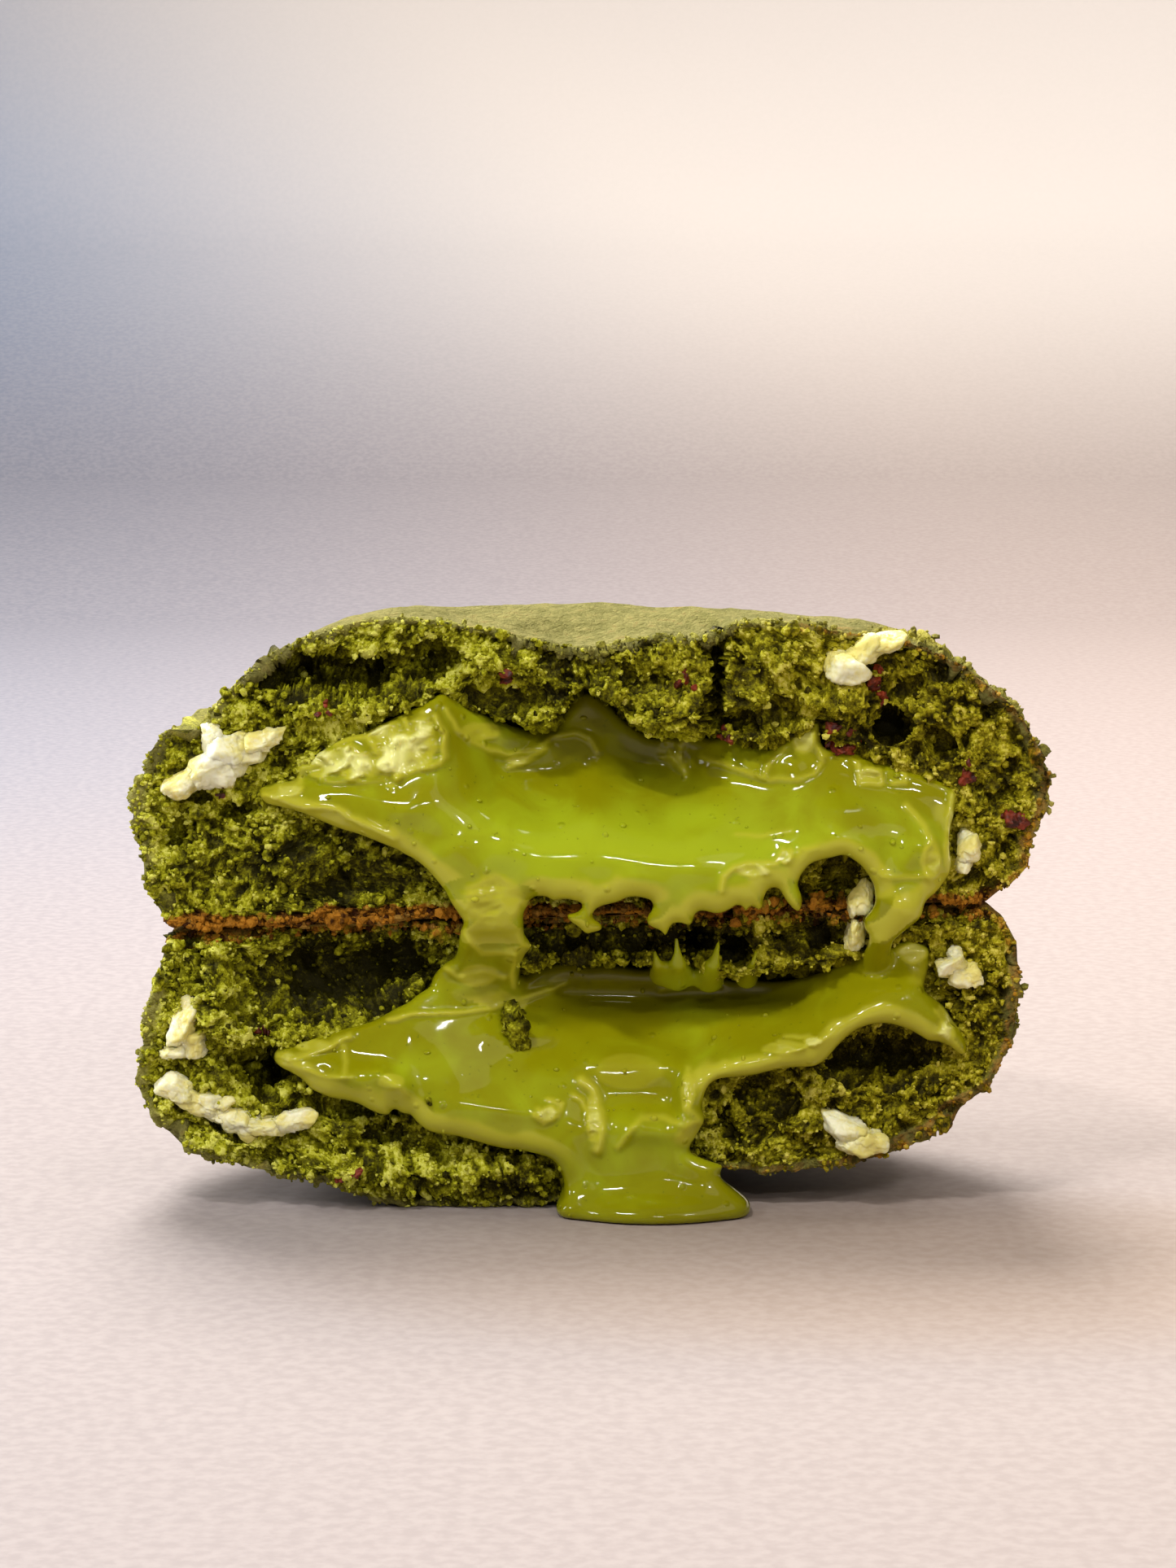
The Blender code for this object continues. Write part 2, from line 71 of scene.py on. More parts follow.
# Clumps and cavities of the torn faces: x, z, reach across and up, and how far each stands out.
UPPER_FORMS = (
    (-28.5, 53.6, 3.2, 1.5, -5.0), (-22.0, 53.4, 4.0, 1.6, -5.5), (-15.6, 54.2, 2.6, 1.5, -4.5),
    (-24.5, 49.4, 5.0, 1.7, 1.6), (-18.0, 50.6, 2.6, 1.2, 1.0), (-8.4, 50.2, 3.0, 1.6, -2.8),
    (-10.0, 54.2, 2.2, 1.8, 1.2), (-5.6, 54.0, 1.6, 1.3, 0.8), (1.5, 51.2, 1.9, 1.9, 1.8),
    (7.6, 48.9, 3.4, 1.7, 2.2), (11.0, 50.2, 1.8, 2.0, 1.4), (6.0, 53.0, 3.2, 1.2, -1.4),
    (12.7, 54.0, 0.7, 2.8, -5.0), (12.5, 49.2, 0.9, 2.2, -5.0), (14.6, 48.2, 1.6, 1.1, -3.6),
    (17.6, 54.2, 2.8, 2.0, 1.4), (16.4, 51.0, 2.0, 1.4, 0.9), (19.6, 49.0, 2.8, 1.2, -2.8),
    (24.6, 50.4, 3.4, 1.4, 1.2), (29.8, 48.3, 1.3, 1.2, -4.5), (31.6, 51.4, 1.8, 1.4, -1.8),
    (34.8, 46.6, 0.9, 1.2, -3.0), (33.4, 48.8, 1.6, 1.2, 0.9), (38.0, 44.6, 2.2, 1.6, 0.9),
    (41.0, 41.0, 1.3, 1.0, -1.8), (37.0, 37.6, 1.6, 1.4, -1.6), (39.2, 33.8, 2.2, 1.8, 1.0),
    (-34.6, 40.0, 1.3, 0.9, -3.6), (-40.6, 37.0, 1.0, 1.6, -3.0), (-38.6, 41.6, 1.6, 0.9, -1.8),
    (-42.0, 33.2, 1.8, 1.6, 0.9), (-30.0, 35.6, 3.4, 2.0, 0.8), (-36.0, 32.8, 2.4, 1.4, -1.2),
    (-22.5, 32.6, 4.0, 1.6, -1.4), (24.7, 32.4, 2.2, 2.2, -4.0), (21.6, 31.0, 1.4, 1.0, -2.4),
)
LOWER_FORMS = (
    (-25.6, 22.8, 8.6, 4.2, -5.4), (-17.0, 24.8, 6.0, 2.8, -4.4), (-36.6, 21.0, 2.0, 4.6, 2.6),
    (-34.4, 17.2, 1.6, 1.6, 1.8), (-32.2, 13.6, 2.3, 1.9, -9.0), (-28.2, 12.0, 1.5, 0.9, 1.6),
    (-21.4, 10.0, 3.2, 0.8, -5.0), (-24.6, 7.6, 2.0, 1.2, 1.2), (-40.8, 15.2, 1.6, 1.4, 0.8),
    (-42.4, 10.4, 1.6, 1.6, 0.9), (-36.0, 6.2, 5.0, 1.4, 1.4), (-24.6, 4.0, 4.4, 1.8, 2.2),
    (-17.4, 3.4, 3.6, 2.2, 2.6), (-9.0, 3.6, 4.8, 2.2, 2.2), (-20.8, 7.6, 1.8, 1.0, -2.0),
    (-12.6, 6.4, 2.2, 1.0, 1.0), (28.6, 15.0, 4.4, 2.2, -5.6), (24.8, 11.6, 2.0, 1.2, 1.2),
    (17.0, 11.6, 2.6, 1.6, -2.6), (13.2, 8.6, 1.2, 1.6, -2.4), (20.6, 8.4, 2.4, 1.2, 1.4),
    (16.0, 6.0, 1.8, 1.0, 0.9), (32.0, 11.0, 1.6, 1.3, 1.2), (34.8, 14.8, 1.6, 1.3, -2.0),
    (38.2, 20.6, 1.6, 2.6, 1.1), (39.6, 14.0, 1.4, 2.2, 0.9), (36.0, 9.2, 1.8, 1.0, -1.4),
    (5.0, 26.6, 16.0, 1.8, -3.4), (22.0, 27.2, 5.0, 1.4, -2.8), (35.4, 26.4, 1.2, 0.9, -1.6),
    (10.7, 25.9, 1.2, 1.6, -6.0), (14.4, 25.0, 1.2, 1.1, -5.0),
)
# Each pool of cream: its top and foot edges, how far its lip stands out, and its depth along x.
UPPER_POOL = (
    ((-32.2, 42.1), (-28.3, 43.5), (-26.3, 45.3), (-23.4, 46.9), (-20.7, 47.7), (-17.4, 49.5), (-14.0, 51.1),
     (-11.9, 49.5), (-8.7, 48.3), (-5.3, 47.4), (-3.1, 47.9), (-1.4, 50.6), (-0.2, 51.1), (2.2, 49.8),
     (4.5, 47.6), (7.5, 46.7), (13.6, 46.7), (17.1, 45.8), (20.3, 47.1), (22.5, 48.2), (23.1, 46.0),
     (25.5, 45.5), (28.4, 44.3), (32.6, 43.0), (36.4, 41.0)),
    ((-32.0, 41.4), (-24.0, 38.6), (-16.0, 34.8), (-12.0, 31.0), (-5.3, 31.0), (3.1, 31.2), (11.1, 30.6),
     (19.1, 32.1), (23.0, 34.6), (25.8, 34.2), (28.2, 31.4), (32.0, 30.6), (34.2, 32.0), (36.4, 38.0)),
    -4.4,
    ((-34.0, -1.5), (-15.0, -0.8), (-9.0, 4.0), (-3.0, 6.0), (8.0, 6.0), (14.0, 3.5), (22.0, 2.0),
     (38.0, 0.5)),
)
LOWER_POOL = (
    ((-31.1, 15.5), (-26.8, 16.9), (-22.4, 18.3), (-18.9, 19.8), (-16.7, 21.2), (-15.2, 23.0), (-11.7, 24.4),
     (-6.4, 23.6), (-3.3, 24.3), (1.5, 24.2), (6.7, 23.8), (11.1, 23.9), (14.7, 22.5), (19.6, 22.6),
     (25.9, 24.4), (29.6, 25.8), (31.4, 26.6), (33.7, 25.8), (35.0, 20.2), (37.4, 15.9)),
    ((-31.0, 14.4), (-25.6, 11.9), (-21.6, 11.0), (-16.0, 8.2), (-8.1, 6.4), (-2.5, 4.6), (9.6, 5.0),
     (11.3, 9.1), (12.7, 12.2), (22.3, 14.7), (28.6, 18.6), (31.8, 18.8), (37.0, 17.2)),
    -4.2,
    ((-32.0, -1.8), (-18.0, -1.2), (-9.0, 3.0), (0.0, 7.0), (18.0, 6.5), (25.0, 2.5), (38.0, -0.5)),
)
# Sizes of what makes up the crumb, and how far each stands out or goes in.
CLUMP_SIZE, LUMP_SIZE, COARSE_SIZE, FINE_SIZE, PIT_SIZE, PORE_SIZE = 5.2, 2.3, 1.25, 0.62, 3.1, 1.3
CLUMP_OUT, LUMP_OUT, COARSE_OUT, FINE_OUT, PIT_IN, PORE_IN = 1.3, 0.8, 0.55, 0.36, 2.6, 1.0
# The crumb's depth behind the tear, and what the shoulders add, where skin has broken off further back.
CRUMB_DEPTH, UPPER_SHOULDER_DEPTH, LOWER_SHOULDER_DEPTH = 1.4, 9.0, 1.5
# Where the shoulders start and are full: x at the left and the right, and height.
LEFT_SHOULDER, RIGHT_SHOULDER, SHOULDER_HEIGHT = (-27.0, -33.0), (25.0, 33.0), (11.0, 17.0)
# Where the dome starts and is full, as height, and the golden tone of the right side, as x.
DOME_HEIGHT, GOLDEN_X, GOLDEN_DEPTH = (13.0, 23.0), (4.0, 26.0), 7.0
# The band of bare crust under the lower half, at its right: x and height.
UNDER_X, UNDER_HEIGHT = (2.0, 10.0), (16.0, 21.0)
# The cracks in the skin, and the one deep split down from the top of the upper half.
CRACK_DEPTH, SPLIT_X, SPLIT_WIDTH, SPLIT_DEPTH = 0.35, 12.4, 0.45, 1.3
# Painted shade and painted light on the crumb: darker where overhangs, caves and the cream's hollows
# shade it, lighter at the edges that face the light. x, z, reach across and up, and how much lighter.
PAINTED_CRUMB_LIGHT_AND_SHADE = (
    (-25.0, 34.4, 9.5, 3.4, -0.42), (-25.0, 52.6, 8.0, 2.8, -0.22), (-24.5, 22.8, 8.8, 4.4, -0.46),
    (28.6, 15.2, 5.6, 3.4, -0.34), (8.0, 26.4, 16.0, 1.8, -0.46), (25.0, 27.4, 3.6, 1.4, -0.25),
    (5.0, 51.0, 8.0, 3.6, -0.22), (14.5, 50.4, 2.6, 4.0, -0.34), (28.8, 47.2, 6.0, 3.2, -0.26),
    (-38.5, 34.8, 3.0, 4.0, -0.2), (17.0, 9.0, 5.0, 3.4, -0.16), (-8.0, 2.4, 8.0, 1.6, -0.22),
    (-43.8, 33.0, 2.4, 8.0, 0.26), (-43.6, 13.0, 3.0, 8.0, 0.32), (-35.0, 19.4, 1.9, 4.0, 0.34),
    (-23.6, 48.6, 6.0, 1.7, 0.26), (-26.0, 56.8, 9.0, 0.9, 0.24), (-18.0, 4.4, 6.0, 1.8, 0.22),
    (-37.0, 5.8, 5.0, 1.6, 0.16), (36.6, 39.6, 2.4, 3.0, 0.18), (21.4, 53.6, 3.4, 2.6, 0.12),
)


def smoothstep(low, high, value):
    """0 below low, 1 above high, and 3 t squared less 2 t cubed between, t the share of the way."""
    share = np.clip((value - low) / (high - low), 0.0, 1.0)
    return share * share * (3.0 - 2.0 * share)


def hashed(cells, seed):
    """Three even random numbers for each whole-numbered cell, by multiplying and folding its numbers."""
    mixed = cells.astype(np.int64) @ np.array([374761393, 668265263, 2147483629]) + seed * 974634777
    columns = []
    for turn in (1, 2, 3):
        mixed = (mixed ^ (mixed >> 13)) * 1274126177 & 0x7FFFFFFFFFFF
        mixed = mixed ^ (mixed >> 16)
        columns.append((mixed & 0xFFFFF) / 0xFFFFF)
    return np.stack(columns, axis=-1)


def swell(points, size, seed):
    """Smooth noise from -1 to 1: random corner values of a grid of that size, blended by smoothstep."""
    spot = points / size
    cell = np.floor(spot)
    share = spot - cell
    share = share * share * (3.0 - 2.0 * share)
    total = np.zeros(len(points))
    for corner in product((0, 1), repeat=3):
        corner = np.array(corner)
        weight = np.prod(np.where(corner == 1, share, 1.0 - share), axis=1)
        total += weight * hashed(cell + corner, seed)[:, 0]
    return 2.0 * total - 1.0


def swirl(points, size, seed):
    """Three smooth noises side by side, to push points about."""
    return np.stack([swell(points, size, seed + k) for k in range(3)], 1)


def lumps(points, size, seed, small=0.35, large=0.85):
    """Packed balls, one in each cell of a jittered grid: the highest ball's height above the point.

    A ball's height is the root of its squared radius less the squared distance, and none is below 0.
    """
    spot = points / size
    cell = np.floor(spot)
    best = np.zeros(len(points))
    for offset in product((-1, 0, 1), repeat=3):
        near = cell + np.array(offset)
        rand = hashed(near, seed)
        away = ((near + 0.15 + 0.7 * rand - spot) ** 2).sum(axis=1)
        radius = small + (large - small) * hashed(near, seed + 7)[:, 1]
        best = np.maximum(best, radius * radius - away)
    return np.sqrt(best)


def shards(points, size, seed):
    """Broken grains from 0 to 1: each cell of a jittered grid has a height of its own, and a tilt."""
    spot = points / size
    cell = np.floor(spot)
    nearest, height = np.full(len(points), 9.0), np.zeros(len(points))
    for offset in product((-1, 0, 1), repeat=3):
        near = cell + np.array(offset)
        delta = near + 0.1 + 0.8 * hashed(near, seed) - spot
        away = (delta ** 2).sum(axis=1)
        rand = hashed(near, seed + 3)
        value = rand[:, 0] + (delta * (rand[:, [1, 2, 0]] - 0.5)).sum(axis=1)
        height, nearest = np.where(away < nearest, value, height), np.minimum(nearest, away)
    return np.clip(height, 0.0, 1.0)


def along(curve, x):
    """The curve's height at x, by straight lines between its points."""
    return np.interp(x, *np.array(curve).T)


def base_level(x):
    """Height at x of the plane where the two baked bases meet."""
    return BASE_Z + BASE_TILT * x


def raised(spots, x, z):
    """The spots' heights added up, each times e to minus the cubed distance from its middle."""
    return sum(out * np.exp(-(((x - centre_x) / reach_x) ** 2 + ((z - centre_z) / reach_z) ** 2) ** 1.5)
               for centre_x, centre_z, reach_x, reach_z, out in spots)


def seen_from_eye(x, y, z):
    """Where the line from the eye through a point crosses the plane of the torn faces."""
    share = -EYE_Y / (y - EYE_Y)
    return x * share, EYE_Z + (z - EYE_Z) * share


def pool_share(pool, x, z):
    """How far up between the pool's foot and top edges a point is, and how near to its middle, 0 to 1.

    The edges are eased, each height the mean of seven over five millimetres.
    """
    top, foot, _, _ = pool
    upper, lower = (np.mean([along(edge, x + shift) for shift in np.linspace(-2.5, 2.5, 7)], axis=0)
                    for edge in (top, foot))
    left, right = top[0][0], top[-1][0]
    across = np.clip(2.0 * (x - left) / (right - left) - 1.0, -1.0, 1.0)
    return (z - lower) / np.maximum(upper - lower, 1.5), 1.0 - np.abs(across) ** 3


def pool_face(pool, x, z):
    """Depth of the cream's open face: out over the lip at the foot, and back under the crust at the top."""
    share, middle = pool_share(pool, x, z)
    _, _, lip, deeps = pool
    return (lip + (along(deeps, x) - lip) * smoothstep(0.1, 0.95, share)) * (0.35 + 0.65 * middle)


def hollow_depth(pool, x, z):
    """How far back the dough lies behind and just above the cream of a pool."""
    top, _, _, deeps = pool
    share, middle = pool_share(pool, x, z)
    above = z - along(top, x)
    inside = smoothstep(0.12, 0.5, share)
    over = 1.0 - smoothstep(-1.6, 0.8, above)
    beyond = smoothstep(0.0, 0.12, middle)
    return (along(deeps, x) + 3.0) * (0.35 + 0.65 * middle) * inside * over * beyond


def outline_scale(outline):
    """The outline in polar form about the belly: angles, and reach as a share of the plain oval."""
    corners = np.array(outline + outline[:1])
    steps = np.linspace(0.0, 1.0, 24, endpoint=False)
    dense = np.concatenate([a + np.outer(steps, b - a) for a, b in zip(corners[:-1], corners[1:])])
    above = dense[:, 1] - BELLY
    across = dense[:, 0] / HALF_WIDTH
    upward = above / np.where(above > 0.0, DOME_REACH, BASE_REACH)
    angle = np.arctan2(upward, across) % (2.0 * math.pi)
    order = np.argsort(angle)
    return angle[order], np.hypot(across, upward)[order]


def half_surface(outline, dome_power):
    """One half as a closed grid, before tearing: points as x, depth and height above the baked base.

    The torn face is a square grid pressed into a disc and stretched to the outline. The skin goes round
    from the right edge of the face to the left one, each turn a copy of that edge, blended from the
    right profile to the left one and towards a plain dome further back. A plain dome is an oval whose
    shares of its two reaches, each to the given power, add up to 1.
    """
    cells_across, cells_up, turns = 430, 140, 60
    full_turn = 2.0 * math.pi
    i, j = np.meshgrid(np.arange(cells_across + 1), np.arange(cells_up + 1), indexing="ij")
    a, c = 2.0 * i.ravel() / cells_across - 1.0, 2.0 * j.ravel() / cells_up - 1.0
    angles, scales = outline_scale(outline)
    outward, upward = a * np.sqrt(1.0 - c * c / 2.0), c * np.sqrt(1.0 - a * a / 2.0)
    share, angle = np.hypot(outward, upward), np.arctan2(upward, outward)
    reach = share * np.interp(angle % full_turn, angles, scales, period=full_turn)
    rise = np.where(np.sin(angle) > 0.0, DOME_REACH, BASE_REACH)
    face_x, face_height = reach * np.cos(angle) * HALF_WIDTH, BELLY + reach * np.sin(angle) * rise
    face = np.stack([face_x, np.zeros(len(a)), face_height], 1)

    def number(column, row):
        return column * (cells_up + 1) + row

    half = cells_across // 2
    rising, falling = np.arange(half, cells_across), np.arange(cells_across, half - 1, -1)
    rows = np.arange(cells_up)
    right = np.concatenate([number(rising, 0), number(cells_across, rows), number(falling, cells_up)])
    rising, falling = cells_across - rising, cells_across - falling
    left = np.concatenate([number(rising, 0), number(0, rows), number(falling, cells_up)])

    profile = np.arctan2(upward[right], np.abs(outward[right]))[1:-1]
    u = np.linspace(0.0, 1.0, turns + 1)[1:-1]
    turn = math.pi * (u - 0.8 * np.sin(full_turn * u) / full_turn)
    azimuth, tilt = (grid.ravel() for grid in np.meshgrid(turn, profile, indexing="ij"))
    right_scale = np.interp(tilt % full_turn, angles, scales, period=full_turn)
    left_scale = np.interp((math.pi - tilt) % full_turn, angles, scales, period=full_turn)
    torn = left_scale + (right_scale - left_scale) * (1.0 + np.cos(azimuth)) / 2.0
    power = np.where(np.sin(tilt) > 0.0, dome_power, BASE_POWER)
    plain = (np.abs(np.cos(tilt)) ** power + np.abs(np.sin(tilt)) ** power) ** (-1.0 / power)
    back = HALF_DEPTH * torn * np.cos(tilt) * np.sin(azimuth)
    reach = torn + (plain - torn) * smoothstep(3.0, 17.0, back)
    out = reach * np.cos(tilt) * HALF_WIDTH
    rise = np.where(np.sin(tilt) > 0.0, DOME_REACH, BASE_REACH)
    skin = np.stack([out * np.cos(azimuth), out * np.sin(azimuth) * HALF_DEPTH / HALF_WIDTH,
                     BELLY + reach * np.sin(tilt) * rise], 1)

    start, width = len(face), len(profile)
    inner = start + np.arange((turns - 1) * width).reshape(turns - 1, width)
    pole = np.full((turns - 1, 1), right[0]), np.full((turns - 1, 1), right[-1])
    skin_ids = np.concatenate([right[None], np.hstack([pole[0], inner, pole[1]]), left[None]])
    quads = []
    for ids in (np.arange(start).reshape(cells_across + 1, cells_up + 1), skin_ids):
        quads.append(np.stack([ids[:-1, :-1], ids[1:, :-1], ids[1:, 1:], ids[:-1, 1:]], -1).reshape(-1, 4))
    return np.concatenate([face, skin]), np.concatenate(quads), start, np.append(share, np.ones(len(skin)))


def normals_of(points, quads):
    """Area-weighted corner normals of a mesh of quads, by the cross product of each one's diagonals."""
    cross = np.cross(points[quads[:, 2]] - points[quads[:, 0]], points[quads[:, 3]] - points[quads[:, 1]])
    corners = quads.ravel()
    total = np.stack([np.bincount(corners, np.repeat(cross[:, k], 4), len(points)) for k in range(3)], 1)
    return total / np.maximum(np.linalg.norm(total, axis=1, keepdims=True), 1e-12)


def mesh_object(name, points, faces, material, zones=None):
    """A smooth-shaded mesh object from millimetre points and faces, moved to its place in the frame.

    A row of four corners whose last two are the same is a triangle.
    """
    mesh = bpy.data.meshes.new(name)
    place = (np.asarray(points) + (TORN_FACE_X, TORN_FACE_Y, 0.0)) * MM
    faces = faces.tolist() if isinstance(faces, np.ndarray) else faces
    mesh.from_pydata(place.tolist(), [], [face[:3] if face[-1] == face[-2] else face for face in faces])
    mesh.polygons.foreach_set("use_smooth", np.ones(len(mesh.polygons), bool))
    if zones is not None:
        layer = mesh.attributes.new("zones", "FLOAT_COLOR", "POINT")
        colours = np.column_stack([zones, np.ones(len(zones))]).astype(np.float32)
        layer.data.foreach_set("color", colours.ravel())
    mesh.update()
    mesh.validate()
    mesh.materials.append(material)
    made = bpy.data.objects.new(name, mesh)
    bpy.context.scene.collection.objects.link(made)
    return made


def crumb_pattern(points, seed):
    """Packed balls and broken grains, less pits and pores, on places that noise has pushed about.

    Gives those places, how far the crumb stands out at each point, and how light it is there: painted
    light on the balls and grains, and painted shade in the pits and pores.
    """
    warped = points.copy()
    for size, push in ((1.9, 0.75), (0.8, 0.34), (0.4, 0.16)):
        warped += push * swirl(points, size, seed + 11)
    big, middle = lumps(warped, CLUMP_SIZE, seed + 2), lumps(warped, LUMP_SIZE, seed + 3)
    coarse, fine = shards(warped, COARSE_SIZE, seed + 4), shards(warped, FINE_SIZE, seed + 5)
    pits = np.maximum(lumps(warped, PIT_SIZE, seed + 6, 0.1, 0.66) - 0.2, 0.0)
    pores = lumps(warped, PORE_SIZE, seed + 16, 0.0, 0.62)
    out = CLUMP_OUT * (big - 0.45) + LUMP_OUT * (middle - 0.4)
    out = out + COARSE_OUT * (coarse - 0.5) + FINE_OUT * (fine - 0.5) - PIT_IN * pits - PORE_IN * pores
    # Painted light and shade: balls and grains lighter, pits and pores darker.
    light = 0.5 * middle + 0.4 * coarse + 0.45 * fine - 1.4 * pits - 0.9 * pores
    return warped, out, light


def torn_half(outline, forms, pool, upward, dome_power, seed):
    """One half with its tear: forms, hollow and clumps push the face, and waves and cracks mark the skin.

    The crumb's pattern is pushed out along the normals. Behind the tear it gives way to the skin, with e
    to minus the fourth power of the depth, later at the shoulders. The zones are how light the crumb is,
    painted light where it stands out and painted shade where it is sunk, how browned, and how much of it
    is skin, counting crumb that turns away from the eye, which takes the skin's colour as painted shade.
    """
    upper = upward > 0
    rest, quads, face_count, out_share = half_surface(outline, dome_power)
    x, depth, height = rest.T
    shoulder = np.maximum(smoothstep(*LEFT_SHOULDER, x), smoothstep(*RIGHT_SHOULDER, x))
    shoulder = smoothstep(*SHOULDER_HEIGHT, height) * shoulder
    wrap = CRUMB_DEPTH + (UPPER_SHOULDER_DEPTH if upper else LOWER_SHOULDER_DEPTH) * shoulder
    wrap = wrap + (0.5 + 0.8 * shoulder) * swell(rest, 4.2, seed + 22)
    behind = np.exp(-(depth / np.maximum(wrap, 0.7)) ** 4)

    # Both domes swell, the lower one down to the table, which presses it flat. The base's rim is ragged,
    # and the torn face goes back into the hollow and in or out at the forms.
    dome = smoothstep(*DOME_HEIGHT, height)
    if upper:
        height = height + 1.2 * dome * smoothstep(2.0, 12.0, depth)
        height = height + 1.5 * dome * swell(rest, 17.0, seed) + 0.35 * dome * swell(rest, 6.0, seed + 1)
    else:
        height = height + 1.8 * dome * np.exp(-(np.hypot(x + 3.0, depth - 20.0) / 17.0) ** 2)
    low = 1.0 - smoothstep(0.0, 1.5, height)
    lifted = 0.4 * (1.0 + swell(rest, 3.4, seed + 18) + 0.6 * swell(rest, 1.3, seed + 19)) * low * behind
    z = base_level(x) + upward * (np.maximum(height, 0.0) + lifted + CONTACT_GAP / 2.0)
    relief, hollow = raised(forms, x, z), hollow_depth(pool, x, z)
    off_base = 0.25 + 0.75 * smoothstep(0.0, 0.45, height)
    y = depth + (hollow - relief) * np.exp(-depth / 4.0) * off_base
    overhang = (0.5 if upper else 1.7) * (1.0 + 0.8 * swell(rest, 5.0, seed + 15))
    y = y + overhang * low * np.exp(-(depth / 1.4) ** 2)
    points = np.stack([x, y, z], 1)

    order = quads if upper else quads[:, ::-1]
    outward = normals_of(points, order)
    if outward[:face_count, 1].mean() > 0.0:
        order, outward = order[:, ::-1], -outward

    # The crumb on the tear, and behind it the skin with soft waves, cracks and the split. The skin's edge
    # shows as crust round the torn face.
    warped, crumb, light = crumb_pattern(points, seed)
    soft = 0.16 * swell(points, 2.4, seed + 8) + 0.09 * swell(points, 1.1, seed + 9)
    cracks = CRACK_DEPTH * np.exp(-(swell(warped, 7.0, seed + 10) / 0.05) ** 2)
    cracks = cracks * smoothstep(4.0, 14.0, height)
    on_face = depth < 0.01
    under = (not upper) * smoothstep(*UNDER_X, x) * smoothstep(*UNDER_HEIGHT, height)
    rim_share = out_share + 0.03 * under + 0.006 * swell(points, 1.6, seed + 20)
    crust = smoothstep(0.962, 0.985, rim_share) * on_face
    off_split = x - SPLIT_X + 0.12 * depth - 0.8 * swell(points, 2.2, seed + 23)
    split = SPLIT_DEPTH * np.exp(-(off_split / SPLIT_WIDTH) ** 2) * np.exp(-depth / 4.5) * dome * upper
    skin_shape = soft - cracks * (1.0 - dome * 0.8) - split
    amount = behind * crumb * (1.0 - 0.6 * crust) + (1.0 - behind) * skin_shape
    points = points + outward * (amount * off_base)[:, None]
    edge = base_level(points[:, 0]) + upward * CONTACT_GAP / 2.0
    points[:, 2] = np.maximum(points[:, 2], edge) if upper else np.clip(points[:, 2], 0.0, edge)

    # Painted light and shade: crumb that stands out is lighter, crumb sunk in pits, pores and the hollow is
    # darker, and more of both is painted at listed spots. The base, the skin next to it and the rim at the
    # right are browned.
    sunk, shade = np.maximum(hollow - relief, 0.0), raised(PAINTED_CRUMB_LIGHT_AND_SHADE, x, z) * behind
    tip_light_pit_shade = light - 0.05 * sunk + 0.05
    tip_light_pit_shade = np.clip(0.5 + (tip_light_pit_shade - 0.5) * behind, 0.12, 1.0) + shade
    wavy = height + 0.7 * swell(points, 2.6, seed + 14) + 0.5 * swell(points, 0.8, seed + 17)
    toasted = 0.75 * (1.0 - smoothstep(0.5, 7.0, height + 1.5 * swell(points, 6.0, seed + 21)))
    thinner = 0.7 * smoothstep(-12.0, 6.0, x)
    based = 1.0 - smoothstep(1.0, 2.3, wavy + thinner) if upper else 0.6 * (1.0 - smoothstep(0.1, 1.0, wavy))
    golden = np.maximum(0.55 * crust, 0.45 * (1.0 - behind) * np.exp(-(depth / GOLDEN_DEPTH) ** 2))
    golden = smoothstep(*GOLDEN_X, x) * golden
    browned = np.max([based, toasted * (1.0 - behind), golden, 0.5 * crust * under], axis=0)
    baked = (1.0 - behind) * smoothstep(0.2, 1.2, depth)
    # Painted shade: crumb behind the tear that turns away from the eye takes the skin's duller colour,
    # against the strong light from behind.
    painted_back_shade = 0.7 * smoothstep(-0.5, 0.1, outward[:, 1]) * ~on_face
    skin = np.max([baked, 0.85 * crust * smoothstep(3.0, 6.0, height), painted_back_shade], axis=0)
    return points, order, np.stack([np.clip(tip_light_pit_shade, 0.0, 1.0), browned, skin], 1), outward, behind, hollow


class Wire:
    """An output socket. Operators on it add Math nodes, mix blends colours, node adds any other node."""

    def __init__(self, tree, socket=None):
        self.tree, self.socket = tree, socket

    def node(self, kind, settings, inputs, out=0):
        made = self.tree.nodes.new("ShaderNode" + kind)
        for name, value in settings.items():
            if name == "stops":
                while len(made.color_ramp.elements) < len(value):
                    made.color_ramp.elements.new(0.5)
                for element, (place, colour) in zip(made.color_ramp.elements, value):
                    element.position, element.color = place, (*colour, 1.0)
            else:
                setattr(made, name, value)
        for name, value in inputs.items():
            if isinstance(value, Wire):
                self.tree.links.new(value.socket, made.inputs[name])
            else:
                made.inputs[name].default_value = value
        return Wire(self.tree, made.outputs[out])

    def math(self, operation, *values):
        return self.node("Math", {"operation": operation}, dict(enumerate(values)))

    def vector_math(self, operation, other):
        return self.node("VectorMath", {"operation": operation}, {0: self, 1: other})

    def noise(self, scale, **inputs):
        return self.node("TexNoise", {}, {"Vector": self, "Scale": scale, "Detail": 3.0, **inputs})

    def bump(self, strength, distance):
        return self.node("Bump", {}, {"Strength": strength, "Distance": distance, "Height": self})

    def parts(self, kind="SeparateXYZ"):
        made = self.node(kind, {}, {0: self}).socket.node
        return [Wire(self.tree, made.outputs[k]) for k in range(3)]

    def __add__(self, other):
        return self.math("ADD", self, other)

    def __sub__(self, other):
        return self.math("SUBTRACT", self, other)

    def __rsub__(self, other):
        return self.math("SUBTRACT", other, self)

    def __mul__(self, other):
        return self.math("MULTIPLY", self, other)

    __radd__, __rmul__ = __add__, __mul__

    def between(self, low, high, start=0.0, end=1.0):
        spread = {"From Min": low, "From Max": high, "To Min": start, "To Max": end}
        return self.node("MapRange", {"interpolation_type": "SMOOTHSTEP"}, {"Value": self, **spread})

    def mix(self, first, second):
        ends = {6: first if isinstance(first, Wire) else (*first, 1.0),
                7: second if isinstance(second, Wire) else (*second, 1.0)}
        return self.node("Mix", {"data_type": "RGBA"}, {0: self, **ends}, out=2)


